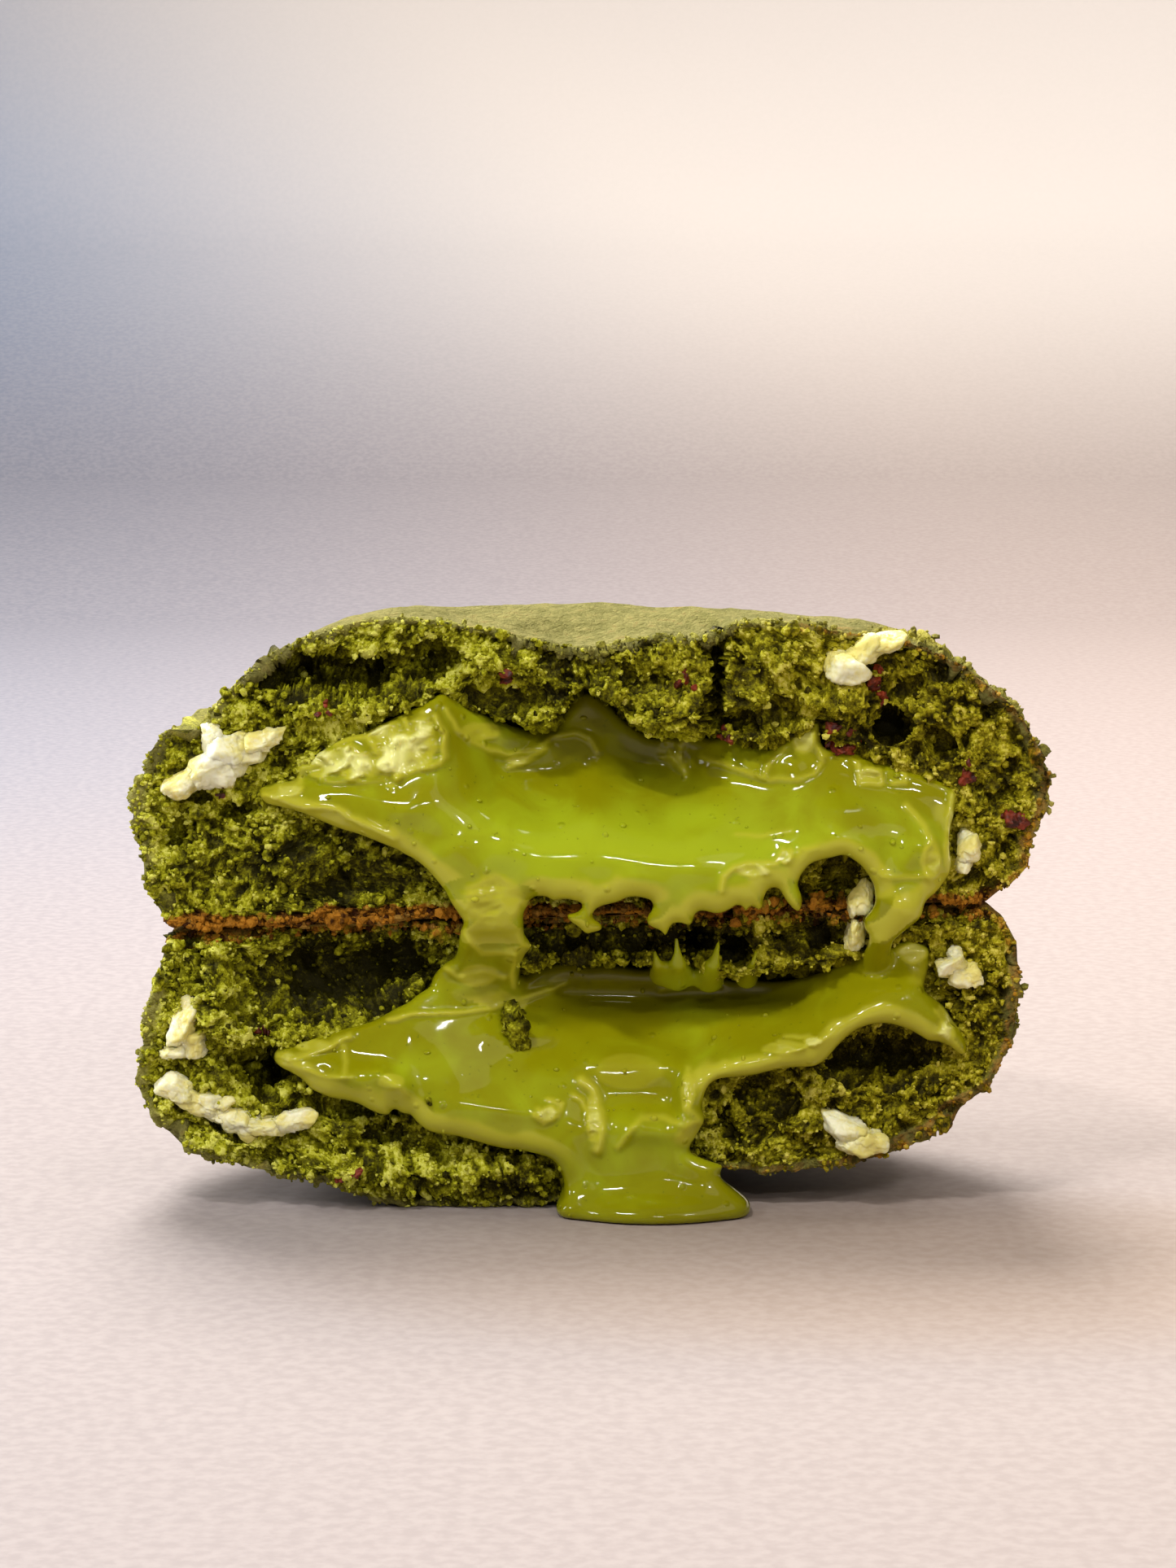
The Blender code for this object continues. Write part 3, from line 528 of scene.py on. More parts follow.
def new_material(name, **values):
    """A Principled material: the place on the object as a Wire, and a function that feeds its sockets."""
    material = bpy.data.materials.new(name)
    material.use_nodes = True
    shader = material.node_tree.nodes["Principled BSDF"]
    place = Wire(material.node_tree).node("TexCoord", {}, {}, out="Object")

    def feed(name, value):
        if isinstance(value, Wire):
            material.node_tree.links.new(value.socket, shader.inputs[name])
        else:
            shader.inputs[name].default_value = value

    for key, value in values.items():
        feed(key.replace("_", " "), value)
    return material, place, feed


def painted_zones(place):
    """The three zones painted on the mesh, as Wires."""
    return place.node("Attribute", {"attribute_name": "zones"}, {}, out="Color").parts("SeparateColor")


crumb_finish, place, feed = new_material("baked_green_crumb", IOR=1.4, Specular_IOR_Level=0.15)
tip_light_pit_shade, browned, skin = painted_zones(place)
speckle, patch = place.noise(900.0, Roughness=0.6), place.noise(130.0)
grain = place.noise(3200.0, Roughness=0.7)
shaken = place.vector_math("ADD", speckle * 0.0014)
wrinkle = place.node("TexVoronoi", {"feature": "DISTANCE_TO_EDGE"}, {"Vector": shaken, "Scale": 900.0})
# The crumb's lightness brings in the painted light on what stands out and the painted shade on what is sunk.
level = tip_light_pit_shade * 0.95 + (speckle - 0.5) * 0.8 + (grain - 0.5) * 1.2 + (patch - 0.5) * 0.6
inside = level.node("ValToRGB", {"stops": (
    (0.0, (0.018, 0.016, 0.0003)), (0.25, (0.066, 0.060, 0.0008)), (0.5, (0.195, 0.190, 0.0025)),
    (0.75, (0.43, 0.425, 0.014)), (1.0, (0.68, 0.67, 0.12)))}, {0: level})
# Painted warm light: to the right the crumb is tinted warmer, as in warm light from that side.
painted_warm_light_right = place.parts()[0].between(-0.02, 0.045)
inside = painted_warm_light_right.mix(inside, inside.vector_math("MULTIPLY", (1.0, 0.88, 0.8)))
crust_tone = (speckle * 0.8 + grain * 0.5 + patch * 0.5 - 0.4).between(0.3, 0.75)
crust = crust_tone.mix((0.145, 0.135, 0.032), (0.270, 0.240, 0.074))
crust = ((speckle + patch * 0.4).between(0.80, 0.92) * 0.45).mix(crust, (0.18, 0.11, 0.026))
brown_tone = (speckle * 0.5 + grain * 0.5 + tip_light_pit_shade * 0.6 - 0.3).between(0.30, 0.74)
brown = brown_tone.mix((0.036, 0.009, 0.0007), (0.42, 0.175, 0.014))
toast = (browned + (speckle - 0.5) * 0.9 + (grain - 0.5) * 0.5).between(0.30, 0.72)
toasted_skin = brown_tone.mix((0.17, 0.09, 0.016), (0.33, 0.20, 0.045))
feed("Base Color", toast.mix(skin.mix(inside, crust), skin.mix(brown, toasted_skin)))
feed("Roughness", skin.between(0.0, 1.0, 0.62, 0.85))
relief = grain * 0.6 + speckle + skin * (wrinkle.between(0.0, 0.2) * 0.45 + grain * 0.6)
feed("Normal", relief.bump(0.75, 0.0003))

half_faces = {}
for name, outline, forms, pool, upward, dome_power, seed in (
        ("upper_half", UPPER_OUTLINE, UPPER_FORMS, UPPER_POOL, 1, 2.1, 31),
        ("lower_half", LOWER_OUTLINE, LOWER_FORMS, LOWER_POOL, -1, 2.5, 87)):
    points, quads, zone, outward, behind, hollow = torn_half(outline, forms, pool, upward, dome_power, seed)
    half_faces[name] = points, outward, behind, hollow, zone
    piece = mesh_object("baked_" + name, points, quads, crumb_finish, zone)
    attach(piece, "root")
    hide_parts(name)


# The cream. The real one is a soft green filling, glossy and slow to flow: it sags out of both halves
# over their lower lips, falls in two streams from the upper to the lower, and spreads on the table.

# Edges of the three open faces, the upper pool's, the lower pool's and the left fall's, as x and z.
UPPER_EDGE = (
    (-32.2, 41.3), (-32.2, 42.1), (-31.2, 42.6), (-29.6, 42.7), (-28.5, 43.0), (-28.8, 44.0), (-27.9, 45.0),
    (-26.3, 45.6), (-24.7, 46.6), (-23.4, 47.2), (-21.9, 47.5), (-20.7, 48.1), (-19.4, 48.7), (-18.1, 49.4),
    (-17.2, 49.8), (-16.3, 50.2), (-15.2, 50.9), (-14.0, 51.5), (-13.2, 51.0), (-11.7, 50.0), (-10.3, 49.4),
    (-8.7, 48.7), (-7.1, 48.1), (-5.5, 47.7), (-3.9, 47.9), (-3.1, 48.7), (-2.5, 49.8), (-1.4, 51.1),
    (-0.2, 51.6), (1.0, 51.1), (2.2, 50.2), (3.3, 49.0), (4.7, 47.9), (6.1, 47.1), (7.5, 47.1), (8.9, 47.4),
    (10.3, 47.2), (12.1, 47.0), (13.6, 47.2), (15.2, 46.7), (17.1, 46.2), (18.4, 46.3), (19.1, 47.1),
    (20.3, 47.6), (21.5, 48.1), (22.5, 48.7), (22.7, 47.6), (22.9, 46.4), (23.5, 45.9), (25.5, 45.9),
    (26.6, 45.3), (28.4, 44.7), (30.4, 44.1), (32.8, 43.4), (35.2, 42.6), (36.0, 42.1), (36.3, 41.3),
    (36.2, 40.3), (35.8, 39.0), (35.5, 37.8), (35.5, 36.2), (35.7, 34.5), (35.5, 33.5), (34.9, 32.5),
    (33.9, 31.3), (32.6, 30.5), (31.4, 29.9), (30.4, 29.1), (29.4, 28.2), (28.5, 27.8), (27.5, 27.8),
    (27.1, 28.5), (27.3, 29.2), (28.0, 29.8), (28.7, 30.6), (28.4, 31.6), (27.9, 32.8), (27.1, 34.0),
    (26.1, 34.9), (25.1, 35.4), (24.0, 35.1), (22.9, 34.9), (21.9, 34.5), (21.3, 33.9), (20.8, 33.1),
    (20.6, 32.4), (21.0, 31.4), (21.1, 30.6), (20.8, 29.7), (20.2, 30.0), (19.6, 30.7), (19.2, 31.3),
    (18.8, 32.0), (18.3, 32.2), (17.7, 31.9), (17.3, 31.1), (17.2, 30.3), (16.8, 29.8), (16.3, 30.3),
    (15.9, 30.3), (15.5, 29.5), (15.2, 30.3), (14.6, 30.4), (13.9, 29.9), (12.7, 29.5), (11.6, 29.8),
    (10.9, 29.8), (10.4, 29.3), (10.3, 28.6), (9.9, 28.3), (9.3, 28.6), (8.5, 28.6), (8.1, 28.3),
    (7.9, 27.8), (7.7, 27.1), (7.3, 27.7), (6.8, 28.0), (6.2, 28.2), (5.7, 28.7), (5.9, 29.3), (6.3, 29.9),
    (6.5, 30.4), (6.1, 30.9), (5.5, 31.1), (4.6, 31.2), (3.8, 31.1), (3.0, 30.7), (2.2, 30.5), (1.4, 30.3),
    (0.7, 29.9), (0.4, 29.3), (0.7, 28.9), (1.3, 28.5), (1.4, 27.9), (0.6, 27.7), (-0.2, 27.5),
    (-0.8, 28.1), (-1.4, 28.5), (-2.0, 29.0), (-2.2, 29.5), (-1.7, 29.5), (-1.0, 29.7), (-0.6, 30.1),
    (-0.6, 30.6), (-1.3, 30.8), (-2.3, 31.0), (-3.3, 30.8), (-3.9, 31.1), (-4.5, 31.3), (-5.3, 31.2),
    (-6.0, 30.9), (-6.5, 30.3), (-6.6, 29.3), (-6.5, 28.3), (-6.9, 27.8), (-9.3, 27.6), (-11.9, 27.8),
    (-12.2, 28.2), (-12.0, 28.7), (-12.5, 29.5), (-13.2, 30.6), (-14.0, 31.7), (-14.6, 32.5), (-15.6, 33.7),
    (-16.7, 34.7), (-17.9, 35.4), (-19.2, 36.1), (-20.7, 36.7), (-22.4, 37.4), (-24.4, 38.0), (-26.3, 38.8),
    (-28.2, 39.6), (-30.0, 40.1), (-31.6, 40.5),
)
LOWER_EDGE = (
    (-31.1, 14.9), (-30.9, 15.8), (-30.0, 16.3), (-28.7, 16.6), (-26.8, 17.2), (-25.5, 17.6), (-24.0, 18.0),
    (-22.4, 18.4), (-21.0, 18.9), (-19.9, 19.5), (-18.9, 20.1), (-17.8, 20.6), (-16.7, 21.5), (-15.6, 22.2),
    (-15.2, 23.1), (-14.4, 23.9), (-13.5, 24.8), (-11.7, 25.2), (-9.3, 25.1), (-7.3, 24.1), (-6.4, 23.3),
    (-5.7, 23.7), (-4.7, 24.2), (-3.3, 24.6), (-1.7, 24.8), (0.1, 24.4), (1.5, 24.6), (3.1, 24.4),
    (5.1, 24.1), (6.7, 24.2), (7.7, 24.6), (8.7, 24.4), (9.9, 24.3), (11.1, 24.3), (12.4, 23.9),
    (13.5, 23.1), (14.7, 22.8), (16.3, 22.9), (18.3, 22.8), (19.6, 22.9), (21.1, 23.1), (22.7, 23.6),
    (24.0, 24.1), (25.9, 24.8), (27.1, 25.2), (28.3, 25.3), (29.1, 25.6), (29.6, 26.2), (30.2, 26.7),
    (31.4, 26.9), (32.6, 26.6), (33.7, 26.1), (33.8, 25.1), (33.6, 24.0), (33.3, 22.8), (33.2, 21.8),
    (34.2, 21.0), (35.3, 20.1), (36.0, 18.9), (36.8, 17.8), (37.4, 16.5), (37.4, 15.4), (36.6, 15.5),
    (35.8, 16.2), (34.6, 16.7), (33.6, 16.8), (32.5, 17.5), (31.2, 18.1), (29.8, 18.5), (28.5, 18.5),
    (27.2, 18.2), (26.1, 17.6), (25.1, 16.7), (24.3, 15.8), (23.4, 14.8), (22.3, 14.2), (20.3, 14.1),
    (18.3, 13.8), (16.3, 13.3), (14.3, 13.1), (12.8, 12.9), (11.9, 12.2), (11.5, 11.2), (11.3, 10.0),
    (11.6, 8.9), (11.1, 7.9), (10.5, 6.8), (10.0, 5.7), (11.1, 5.0), (12.4, 4.5), (13.5, 4.1), (13.0, 3.4),
    (13.2, 2.4), (13.8, 1.5), (14.4, 0.5), (14.8, -0.3), (14.0, -1.1), (11.1, -1.6), (6.3, -1.8),
    (1.5, -1.7), (-0.7, -1.2), (-1.7, -0.5), (-1.5, 0.6), (-1.9, 1.9), (-2.5, 3.1), (-3.0, 4.1),
    (-3.8, 4.9), (-5.0, 5.3), (-6.6, 5.7), (-8.5, 5.9), (-10.1, 6.3), (-11.7, 6.8), (-13.2, 7.2),
    (-14.8, 7.4), (-16.0, 7.8), (-17.0, 8.6), (-17.6, 9.4), (-18.3, 9.4), (-18.9, 9.8), (-19.4, 10.0),
    (-19.7, 9.3), (-20.7, 9.4), (-21.8, 9.9), (-22.7, 10.4), (-24.0, 10.8), (-25.3, 11.0), (-26.4, 11.4),
    (-27.5, 12.0), (-28.3, 12.9), (-29.4, 13.6), (-30.4, 14.1),
)
STREAM_EDGE = (
    (-13.2, 31.6), (-12.0, 28.7), (-12.4, 28.0), (-12.7, 27.0), (-12.8, 26.1), (-13.2, 24.9), (-14.0, 24.4),
    (-14.8, 23.6), (-15.4, 22.2), (-16.4, 20.7), (-12.8, 19.6), (-9.7, 19.6), (-7.3, 20.7), (-6.9, 21.8),
    (-6.8, 23.1), (-6.6, 24.4), (-6.1, 25.6), (-5.5, 26.1), (-5.6, 26.5), (-6.1, 27.2), (-6.5, 27.9),
    (-6.6, 29.3), (-6.3, 31.1),
)
# Broad swells and hollows of the open faces: x and z of both ends, half width, and how far each stands out.
CREAM_SWELLS = (
    (-26.0, 42.0, -18.0, 39.6, 1.4, 0.6), (-16.0, 41.0, -9.0, 37.6, 2.8, 0.9),
    (-12.6, 35.6, -10.6, 31.8, 1.3, 0.6), (-22.0, 45.6, -14.0, 47.2, 2.0, 0.9),
    (-8.0, 43.6, 9.0, 43.4, 2.6, -1.2), (-6.0, 36.8, 10.0, 35.8, 4.0, 1.5),
    (12.0, 44.6, 20.0, 44.0, 1.2, 0.6), (25.0, 38.4, 32.0, 37.6, 3.2, 1.6),
    (-8.0, 46.6, -4.0, 45.6, 1.6, 0.8), (30.0, 33.0, 32.6, 36.0, 1.4, 0.6),
    (-24.4, 13.4, -18.6, 12.6, 1.3, 1.0), (-10.0, 17.4, 2.0, 18.2, 1.8, 0.6),
    (11.0, 18.4, 24.0, 20.0, 1.6, 1.0), (0.6, 15.0, 7.6, 14.6, 2.0, 1.3), (1.0, 10.6, 7.4, 10.8, 1.8, -0.8),
    (4.4, 8.0, 8.8, 7.6, 1.4, 1.0), (9.6, 14.4, 9.8, 9.4, 1.0, 0.7), (-13.0, 10.2, -5.0, 9.4, 1.3, 0.6),
    (26.0, 21.6, 33.0, 21.8, 1.4, 0.8), (-2.0, 21.4, 20.0, 20.9, 1.3, -1.2),
    (-30.0, 14.6, -26.0, 14.6, 0.9, 0.6), (-20.6, 13.6, -18.2, 11.8, 0.8, 0.7),
    (-11.6, 26.0, -8.4, 25.8, 1.2, 0.5), (-12.0, 22.2, -8.6, 22.0, 1.4, 0.8),
)
# Fine ridges and films on them: half width, how far out, how pale, and their bends. The paleness is
# partly the films' own colour and partly painted highlight.
CREAM_RIDGES = (
    (0.35, 0.5, 0.6, ((-32.3, 41.0), (-30.0, 42.1), (-28.2, 42.6), (-28.3, 43.2))),
    (0.35, 0.7, 0.7, ((-30.0, 40.8), (-27.9, 40.1), (-25.8, 40.2), (-24.4, 40.0), (-23.5, 39.1),
        (-21.2, 38.0), (-19.1, 37.0))),
    (0.4, 0.7, 0.6, ((-28.3, 44.0), (-26.8, 44.5), (-25.5, 45.3))),
    (0.45, 0.8, 0.6, ((-25.5, 45.3), (-24.8, 44.0), (-23.6, 43.3), (-22.4, 43.9), (-22.4, 45.3),
        (-23.2, 46.0))),
    (0.4, 0.7, 0.6, ((-24.7, 46.4), (-23.1, 47.2), (-21.6, 47.2), (-20.8, 46.4), (-20.5, 45.5))),
    (0.3, -0.5, 0.0, ((-27.9, 43.0), (-25.6, 42.2), (-22.4, 42.1), (-19.1, 42.7))),
    (0.3, 0.4, 0.3, ((-26.9, 43.3), (-24.8, 42.6), (-21.6, 42.5), (-19.9, 42.7))),
    (0.35, 0.9, 0.6, ((-19.4, 48.4), (-18.9, 46.7), (-19.1, 44.7), (-18.7, 43.0))),
    (0.3, 0.7, 0.6, ((-18.0, 48.9), (-17.2, 47.1), (-17.6, 45.1), (-18.4, 43.4))),
    (0.35, 0.8, 0.6, ((-14.9, 49.0), (-14.0, 47.5), (-14.0, 45.1), (-14.6, 44.4), (-16.0, 44.2),
        (-17.1, 45.0))),
    (0.3, 0.4, 0.4, ((-18.7, 43.0), (-17.2, 43.7), (-15.2, 44.0))),
    (0.3, 0.6, 0.5, ((-13.8, 49.7), (-12.8, 47.9), (-11.3, 46.7), (-9.7, 45.8), (-7.9, 45.3),
        (-6.3, 45.5), (-4.7, 46.1), (-3.6, 47.1), (-1.3, 47.5), (0.1, 47.1), (0.9, 45.8))),
    (0.28, 0.6, 0.7, ((-7.7, 44.1), (-6.5, 44.5), (-5.3, 45.3), (-4.2, 46.0))),
    (0.35, 0.7, 0.6, ((9.3, 46.9), (8.9, 45.5), (9.5, 43.4))),
    (0.3, 0.6, 0.6, ((7.7, 46.7), (8.1, 45.1), (9.2, 43.9))),
    (0.3, 0.5, 0.4, ((11.1, 45.1), (13.5, 44.3), (15.9, 43.4), (17.8, 42.9), (20.4, 42.9), (22.1, 43.4),
        (22.9, 44.7), (22.6, 46.0))),
    (0.4, 0.8, 0.4, ((22.3, 48.4), (22.3, 46.7), (23.1, 45.3))),
    (0.3, 0.5, 0.4, ((19.2, 46.0), (17.8, 44.5), (17.2, 43.2))),
    (0.26, 0.5, 0.7, ((26.3, 44.5), (26.7, 42.6), (28.7, 42.5), (28.5, 43.7), (27.1, 43.9))),
    (0.26, 0.4, 0.6, ((29.8, 42.5), (31.1, 42.6), (31.0, 43.5))),
    (0.38, 0.7, 0.7, ((35.8, 41.3), (35.5, 39.0), (35.3, 35.8), (35.4, 33.8))),
    (0.35, 0.6, 0.5, ((31.2, 40.3), (33.0, 38.3), (34.2, 35.9), (34.6, 34.0), (33.9, 33.0))),
    (0.3, 0.5, 0.6, ((33.6, 36.7), (32.9, 34.8), (33.4, 33.3))),
    (0.3, 0.4, 0.4, ((29.0, 33.3), (31.0, 33.1), (33.6, 33.3))),
    (0.32, 0.6, 0.7, ((13.2, 31.9), (13.4, 33.3), (14.4, 34.1), (16.4, 34.5), (18.4, 34.5))),
    (0.28, 0.5, 0.7, ((19.1, 35.9), (18.7, 35.0), (19.8, 34.7), (19.9, 35.8))),
    (0.28, 0.3, 0.4, ((14.6, 37.4), (17.2, 37.3), (19.9, 37.8))),
    (0.26, 0.3, 0.5, ((21.5, 35.8), (22.3, 36.0))),
    (0.22, 0.5, 0.6, ((-19.8, 18.9), (-17.0, 19.5), (-13.2, 19.6), (-9.3, 20.1), (-6.5, 21.0),
        (-4.5, 21.8), (-2.3, 22.5))),
    (0.35, 0.9, 0.6, ((-30.9, 15.5), (-29.4, 15.2), (-27.5, 15.5), (-25.9, 16.1), (-24.8, 16.8),
        (-23.6, 17.3))),
    (0.28, 0.4, 0.4, ((-24.2, 16.2), (-23.9, 14.7), (-24.2, 13.3))),
    (0.28, 0.4, 0.4, ((-28.0, 13.8), (-25.8, 13.2), (-23.4, 13.2))),
    (0.3, 0.5, 0.6, ((-5.3, 9.3), (-4.2, 8.7), (-3.0, 9.3), (-2.6, 10.4), (-3.9, 10.8))),
    (0.25, 0.4, 0.5, ((-4.9, 9.9), (-3.9, 9.6), (-3.3, 10.0))),
    (0.45, 1.0, 0.7, ((-0.6, 12.8), (0.5, 11.9), (1.1, 9.9), (1.3, 7.8), (1.0, 5.8))),
    (0.3, 0.5, 0.5, ((-1.4, 11.3), (-0.5, 10.8), (0.0, 9.4), (0.1, 7.8))),
    (0.3, 0.5, 0.5, ((17.5, 15.9), (19.1, 15.6), (21.1, 15.9))),
    (0.28, 0.5, 0.6, ((18.9, 16.7), (21.1, 16.3), (22.9, 16.6), (23.7, 17.3))),
    (0.24, 0.4, 0.5, ((19.5, 17.3), (21.9, 17.2))),
    (0.28, 0.5, 0.8, ((7.2, 21.9), (8.9, 22.4))),
    (0.35, 0.6, 0.4, ((3.0, 6.0), (4.2, 7.8), (5.4, 9.1), (7.3, 9.1), (9.7, 8.1), (11.3, 8.8))),
    (0.35, 0.5, 0.4, ((10.0, 14.1), (9.4, 11.7), (10.1, 9.9), (11.3, 8.6))),
    (0.28, 0.6, 0.5, ((-12.2, 27.4), (-10.5, 25.6), (-7.1, 25.4))),
    (0.28, 0.6, 0.6, ((-7.1, 25.4), (-7.4, 23.6), (-7.3, 22.2))),
    (0.28, 0.5, 0.5, ((-14.0, 24.1), (-12.7, 23.1), (-10.5, 23.8), (-8.2, 23.1))),
    (0.28, 0.5, 0.6, ((-6.9, 27.3), (-6.5, 26.5), (-5.7, 26.3))),
)
# Patches where it has crept over crumb and skinned: x, z, reach across and up, how pale, how ruffled.
# The paleness is partly the skin's own colour and partly painted light.
CREAM_PATCHES = (
    (-18.2, 46.0, 4.6, 3.6, 0.9, 1.3), (-24.2, 44.6, 4.6, 2.2, 1.0, 1.5), (-27.0, 45.2, 2.4, 1.6, 1.0, 1.0),
    (-30.0, 41.8, 3.0, 1.2, 0.5, 1.0), (-10.6, 47.6, 2.6, 1.0, 0.4, 0.4), (-6.6, 44.8, 1.9, 0.5, 0.7, 0.5),
    (8.0, 45.6, 1.4, 1.5, 0.5, 0.6), (21.2, 46.6, 1.6, 1.6, 0.55, 0.6), (27.6, 43.4, 1.5, 0.9, 0.5, 0.6),
    (35.7, 37.2, 0.6, 3.6, 0.7, 0.5), (34.0, 34.8, 0.9, 1.8, 0.5, 0.5), (19.3, 35.2, 0.9, 1.0, 0.6, 0.7),
    (16.2, 33.8, 2.6, 0.8, 0.6, 0.6), (-4.1, 9.5, 1.5, 1.0, 0.6, 0.8), (0.5, 9.4, 0.8, 3.2, 0.55, 0.6),
    (4.1, 13.7, 3.9, 2.1, 0.16, 0.05), (9.9, 11.8, 1.0, 2.8, 0.4, 0.4), (19.4, 16.1, 2.4, 0.7, 0.55, 0.7),
    (22.2, 16.8, 1.5, 0.6, 0.6, 0.6), (35.4, 18.4, 1.5, 3.1, 0.8, 1.2), (32.0, 25.6, 2.0, 1.1, 0.6, 0.5),
    (-9.4, 30.8, 4.0, 3.4, 0.4, 0.45), (-10.8, 23.4, 2.4, 1.4, 0.4, 0.3),
    (-27.2, 16.4, 2.8, 0.9, 0.45, 0.5), (-19.4, 12.6, 1.6, 1.0, 0.3, 0.2),
    (-29.6, 15.2, 1.4, 0.7, 0.5, 0.5),
)
# The open face of the left fall: height and depth.
STREAM_FACE = (
    (18.0, 6.6), (20.0, 5.2), (22.0, 3.0), (24.0, 0.8), (26.0, -1.6), (28.0, -3.0), (30.0, -3.8),
    (33.0, -4.4),
)
# The puddle on the table: the middle of its oval, and its reach across, back and up.
PUDDLE_MIDDLE, PUDDLE_REACH = (6.4, -2.2, 0.5), (9.2, 5.7, 2.1)
# Over what width the slabs, the runs and the puddle flow together.
SLAB_BLEND, RUN_BLEND, PUDDLE_BLEND = 0.8, 0.9, 2.4
# The grid that the cream's surface is found on: its low corner, its numbers of points, and its step.
CREAM_LOW, CREAM_CELLS, CREAM_STEP = (-34.6, -9.4, -2.4), (272, 88, 206), 0.27


def smooth_loop(corners, steps=6):
    """A closed curve through the corners.

    Each stretch is a cubic whose slope at a corner is half the step between the corners beside it.
    """
    p = [np.roll(np.array(corners), shift, axis=0)[:, None] for shift in (1, 0, -1, -2)]
    t = np.linspace(0.0, 1.0, steps, endpoint=False)[None, :, None]
    curve = p[1] + t / 2.0 * (p[2] - p[0]) + t ** 2 / 2.0 * (2.0 * p[0] - 5.0 * p[1] + 4.0 * p[2] - p[3])
    return (curve + t ** 3 / 2.0 * (3.0 * p[1] - p[0] - 3.0 * p[2] + p[3])).reshape(-1, 2)


def distance_to_bends(bends, x, z):
    """Distance to an open line through its bends, that of the nearest stretch."""
    best = np.full(np.shape(x), 1e9)
    for (ax, az), (bx, bz) in zip(bends[:-1], bends[1:]):
        span = max((bx - ax) ** 2 + (bz - az) ** 2, 1e-12)
        t = np.clip(((x - ax) * (bx - ax) + (z - az) * (bz - az)) / span, 0.0, 1.0)
        best = np.minimum(best, (x - ax - t * (bx - ax)) ** 2 + (z - az - t * (bz - az)) ** 2)
    return np.sqrt(best)


def distance_to_loop(loop, x, z):
    """Distance to a closed loop, below 0 inside, which is where a line crosses it an odd number of times."""
    closed, crossed = np.vstack([loop, loop[:1]]), np.zeros(x.shape, bool)
    for (ax, az), (bx, bz) in zip(closed[:-1], closed[1:]):
        if az != bz:
            crossed ^= ((az > z) != (bz > z)) & (x < (bx - ax) * (z - az) / (bz - az) + ax)
    return distance_to_bends(closed, x, z) * np.where(crossed, -1.0, 1.0)


def lookup(table, x, z):
    """The value at x and z of a table on the cream's grid, by straight lines between its cells."""
    i, k = (x - CREAM_LOW[0]) / CREAM_STEP, (z - CREAM_LOW[2]) / CREAM_STEP
    i, k = np.clip(i, 0.0, table.shape[0] - 1.001), np.clip(k, 0.0, table.shape[1] - 1.001)
    i0, k0 = i.astype(int), k.astype(int)
    s, t = i - i0, k - k0
    low = table[i0, k0] * (1.0 - s) + table[i0 + 1, k0] * s
    high = table[i0, k0 + 1] * (1.0 - s) + table[i0 + 1, k0 + 1] * s
    return low * (1.0 - t) + high * t


def smooth_max(first, second, width):
    """The larger of two fields, with the corner between them rounded over that width."""
    share = np.maximum(width - np.abs(first - second), 0.0) / width
    return np.maximum(first, second) + share * share * width / 4.0


def smooth_min(first, second, width):
    """The smaller of two fields, rounded in the same way."""
    return -smooth_max(-first, -second, width)


def run_distance(x, y, z, bends, flat):
    """Distance to a run through bends of x, y, z and radius: the nearest stretch, less its radius there."""
    best = np.full(x.shape, 1e9)
    for (ax, ay, az, ar), (bx, by, bz, br) in zip(bends[:-1], bends[1:]):
        span = (bx - ax) ** 2 + ((by - ay) / flat) ** 2 + (bz - az) ** 2
        along_it = (x - ax) * (bx - ax) + (y - ay) * (by - ay) / flat ** 2 + (z - az) * (bz - az)
        t = np.clip(along_it / span, 0.0, 1.0)
        off_x, off_y, off_z = x - ax - t * (bx - ax), y - ay - t * (by - ay), z - az - t * (bz - az)
        away = off_x ** 2 + (off_y / flat) ** 2 + off_z ** 2
        best = np.minimum(best, np.sqrt(away) - ar - t * (br - ar))
    return best


def surface_net(field, low, step):
    """The surface where a field on a grid is 0: one point in each cell that it crosses, at the mean of
    its crossings with the cell's edges, and one quad round each grid edge that it crosses.
    """
    inside = field < 0.0
    nx, ny, nz = field.shape
    count = np.zeros((nx - 1, ny - 1, nz - 1), np.int8)
    for i, j, k in product((0, 1), repeat=3):
        count += inside[i:nx - 1 + i, j:ny - 1 + j, k:nz - 1 + k]
    cells = np.argwhere((count > 0) & (count < 8))
    number = np.full(count.shape, -1)
    number[tuple(cells.T)] = np.arange(len(cells))
    total, hits = np.zeros((len(cells), 3)), np.zeros(len(cells))
    for axis in range(3):
        unit = np.eye(3, dtype=int)[axis]
        for pair in product((0, 1), repeat=2):
            offset = np.insert(np.array(pair), axis, 0)
            first, second = field[tuple((cells + offset).T)], field[tuple((cells + offset + unit).T)]
            crossed = (first < 0.0) != (second < 0.0)
            share = np.where(crossed, first / np.where(crossed, first - second, 1.0), 0.0)
            total += np.where(crossed[:, None], offset + share[:, None] * unit, 0.0)
            hits += crossed
    quads = []
    for axis in range(3):
        u, v = (np.eye(3, dtype=int)[k] for k in ((axis + 1) % 3, (axis + 2) % 3))
        first = np.moveaxis(inside, axis, 0)[:-1, 1:-1, 1:-1]
        second = np.moveaxis(inside, axis, 0)[1:, 1:-1, 1:-1]
        for wanted in (True, False):
            edges = np.argwhere((first == wanted) & (second != wanted))
            spots = np.empty_like(edges)
            spots[:, axis] = edges[:, 0]
            others = [k for k in range(3) if k != axis]
            spots[:, others[0]], spots[:, others[1]] = edges[:, 1] + 1, edges[:, 2] + 1
            ring = [number[tuple((spots - shift).T)] for shift in (u + v, v, 0 * u, u)]
            quads.append(np.stack(ring if wanted else ring[::-1], 1))
    return np.array(low) + (cells + total / hits[:, None]) * step, np.concatenate(quads)


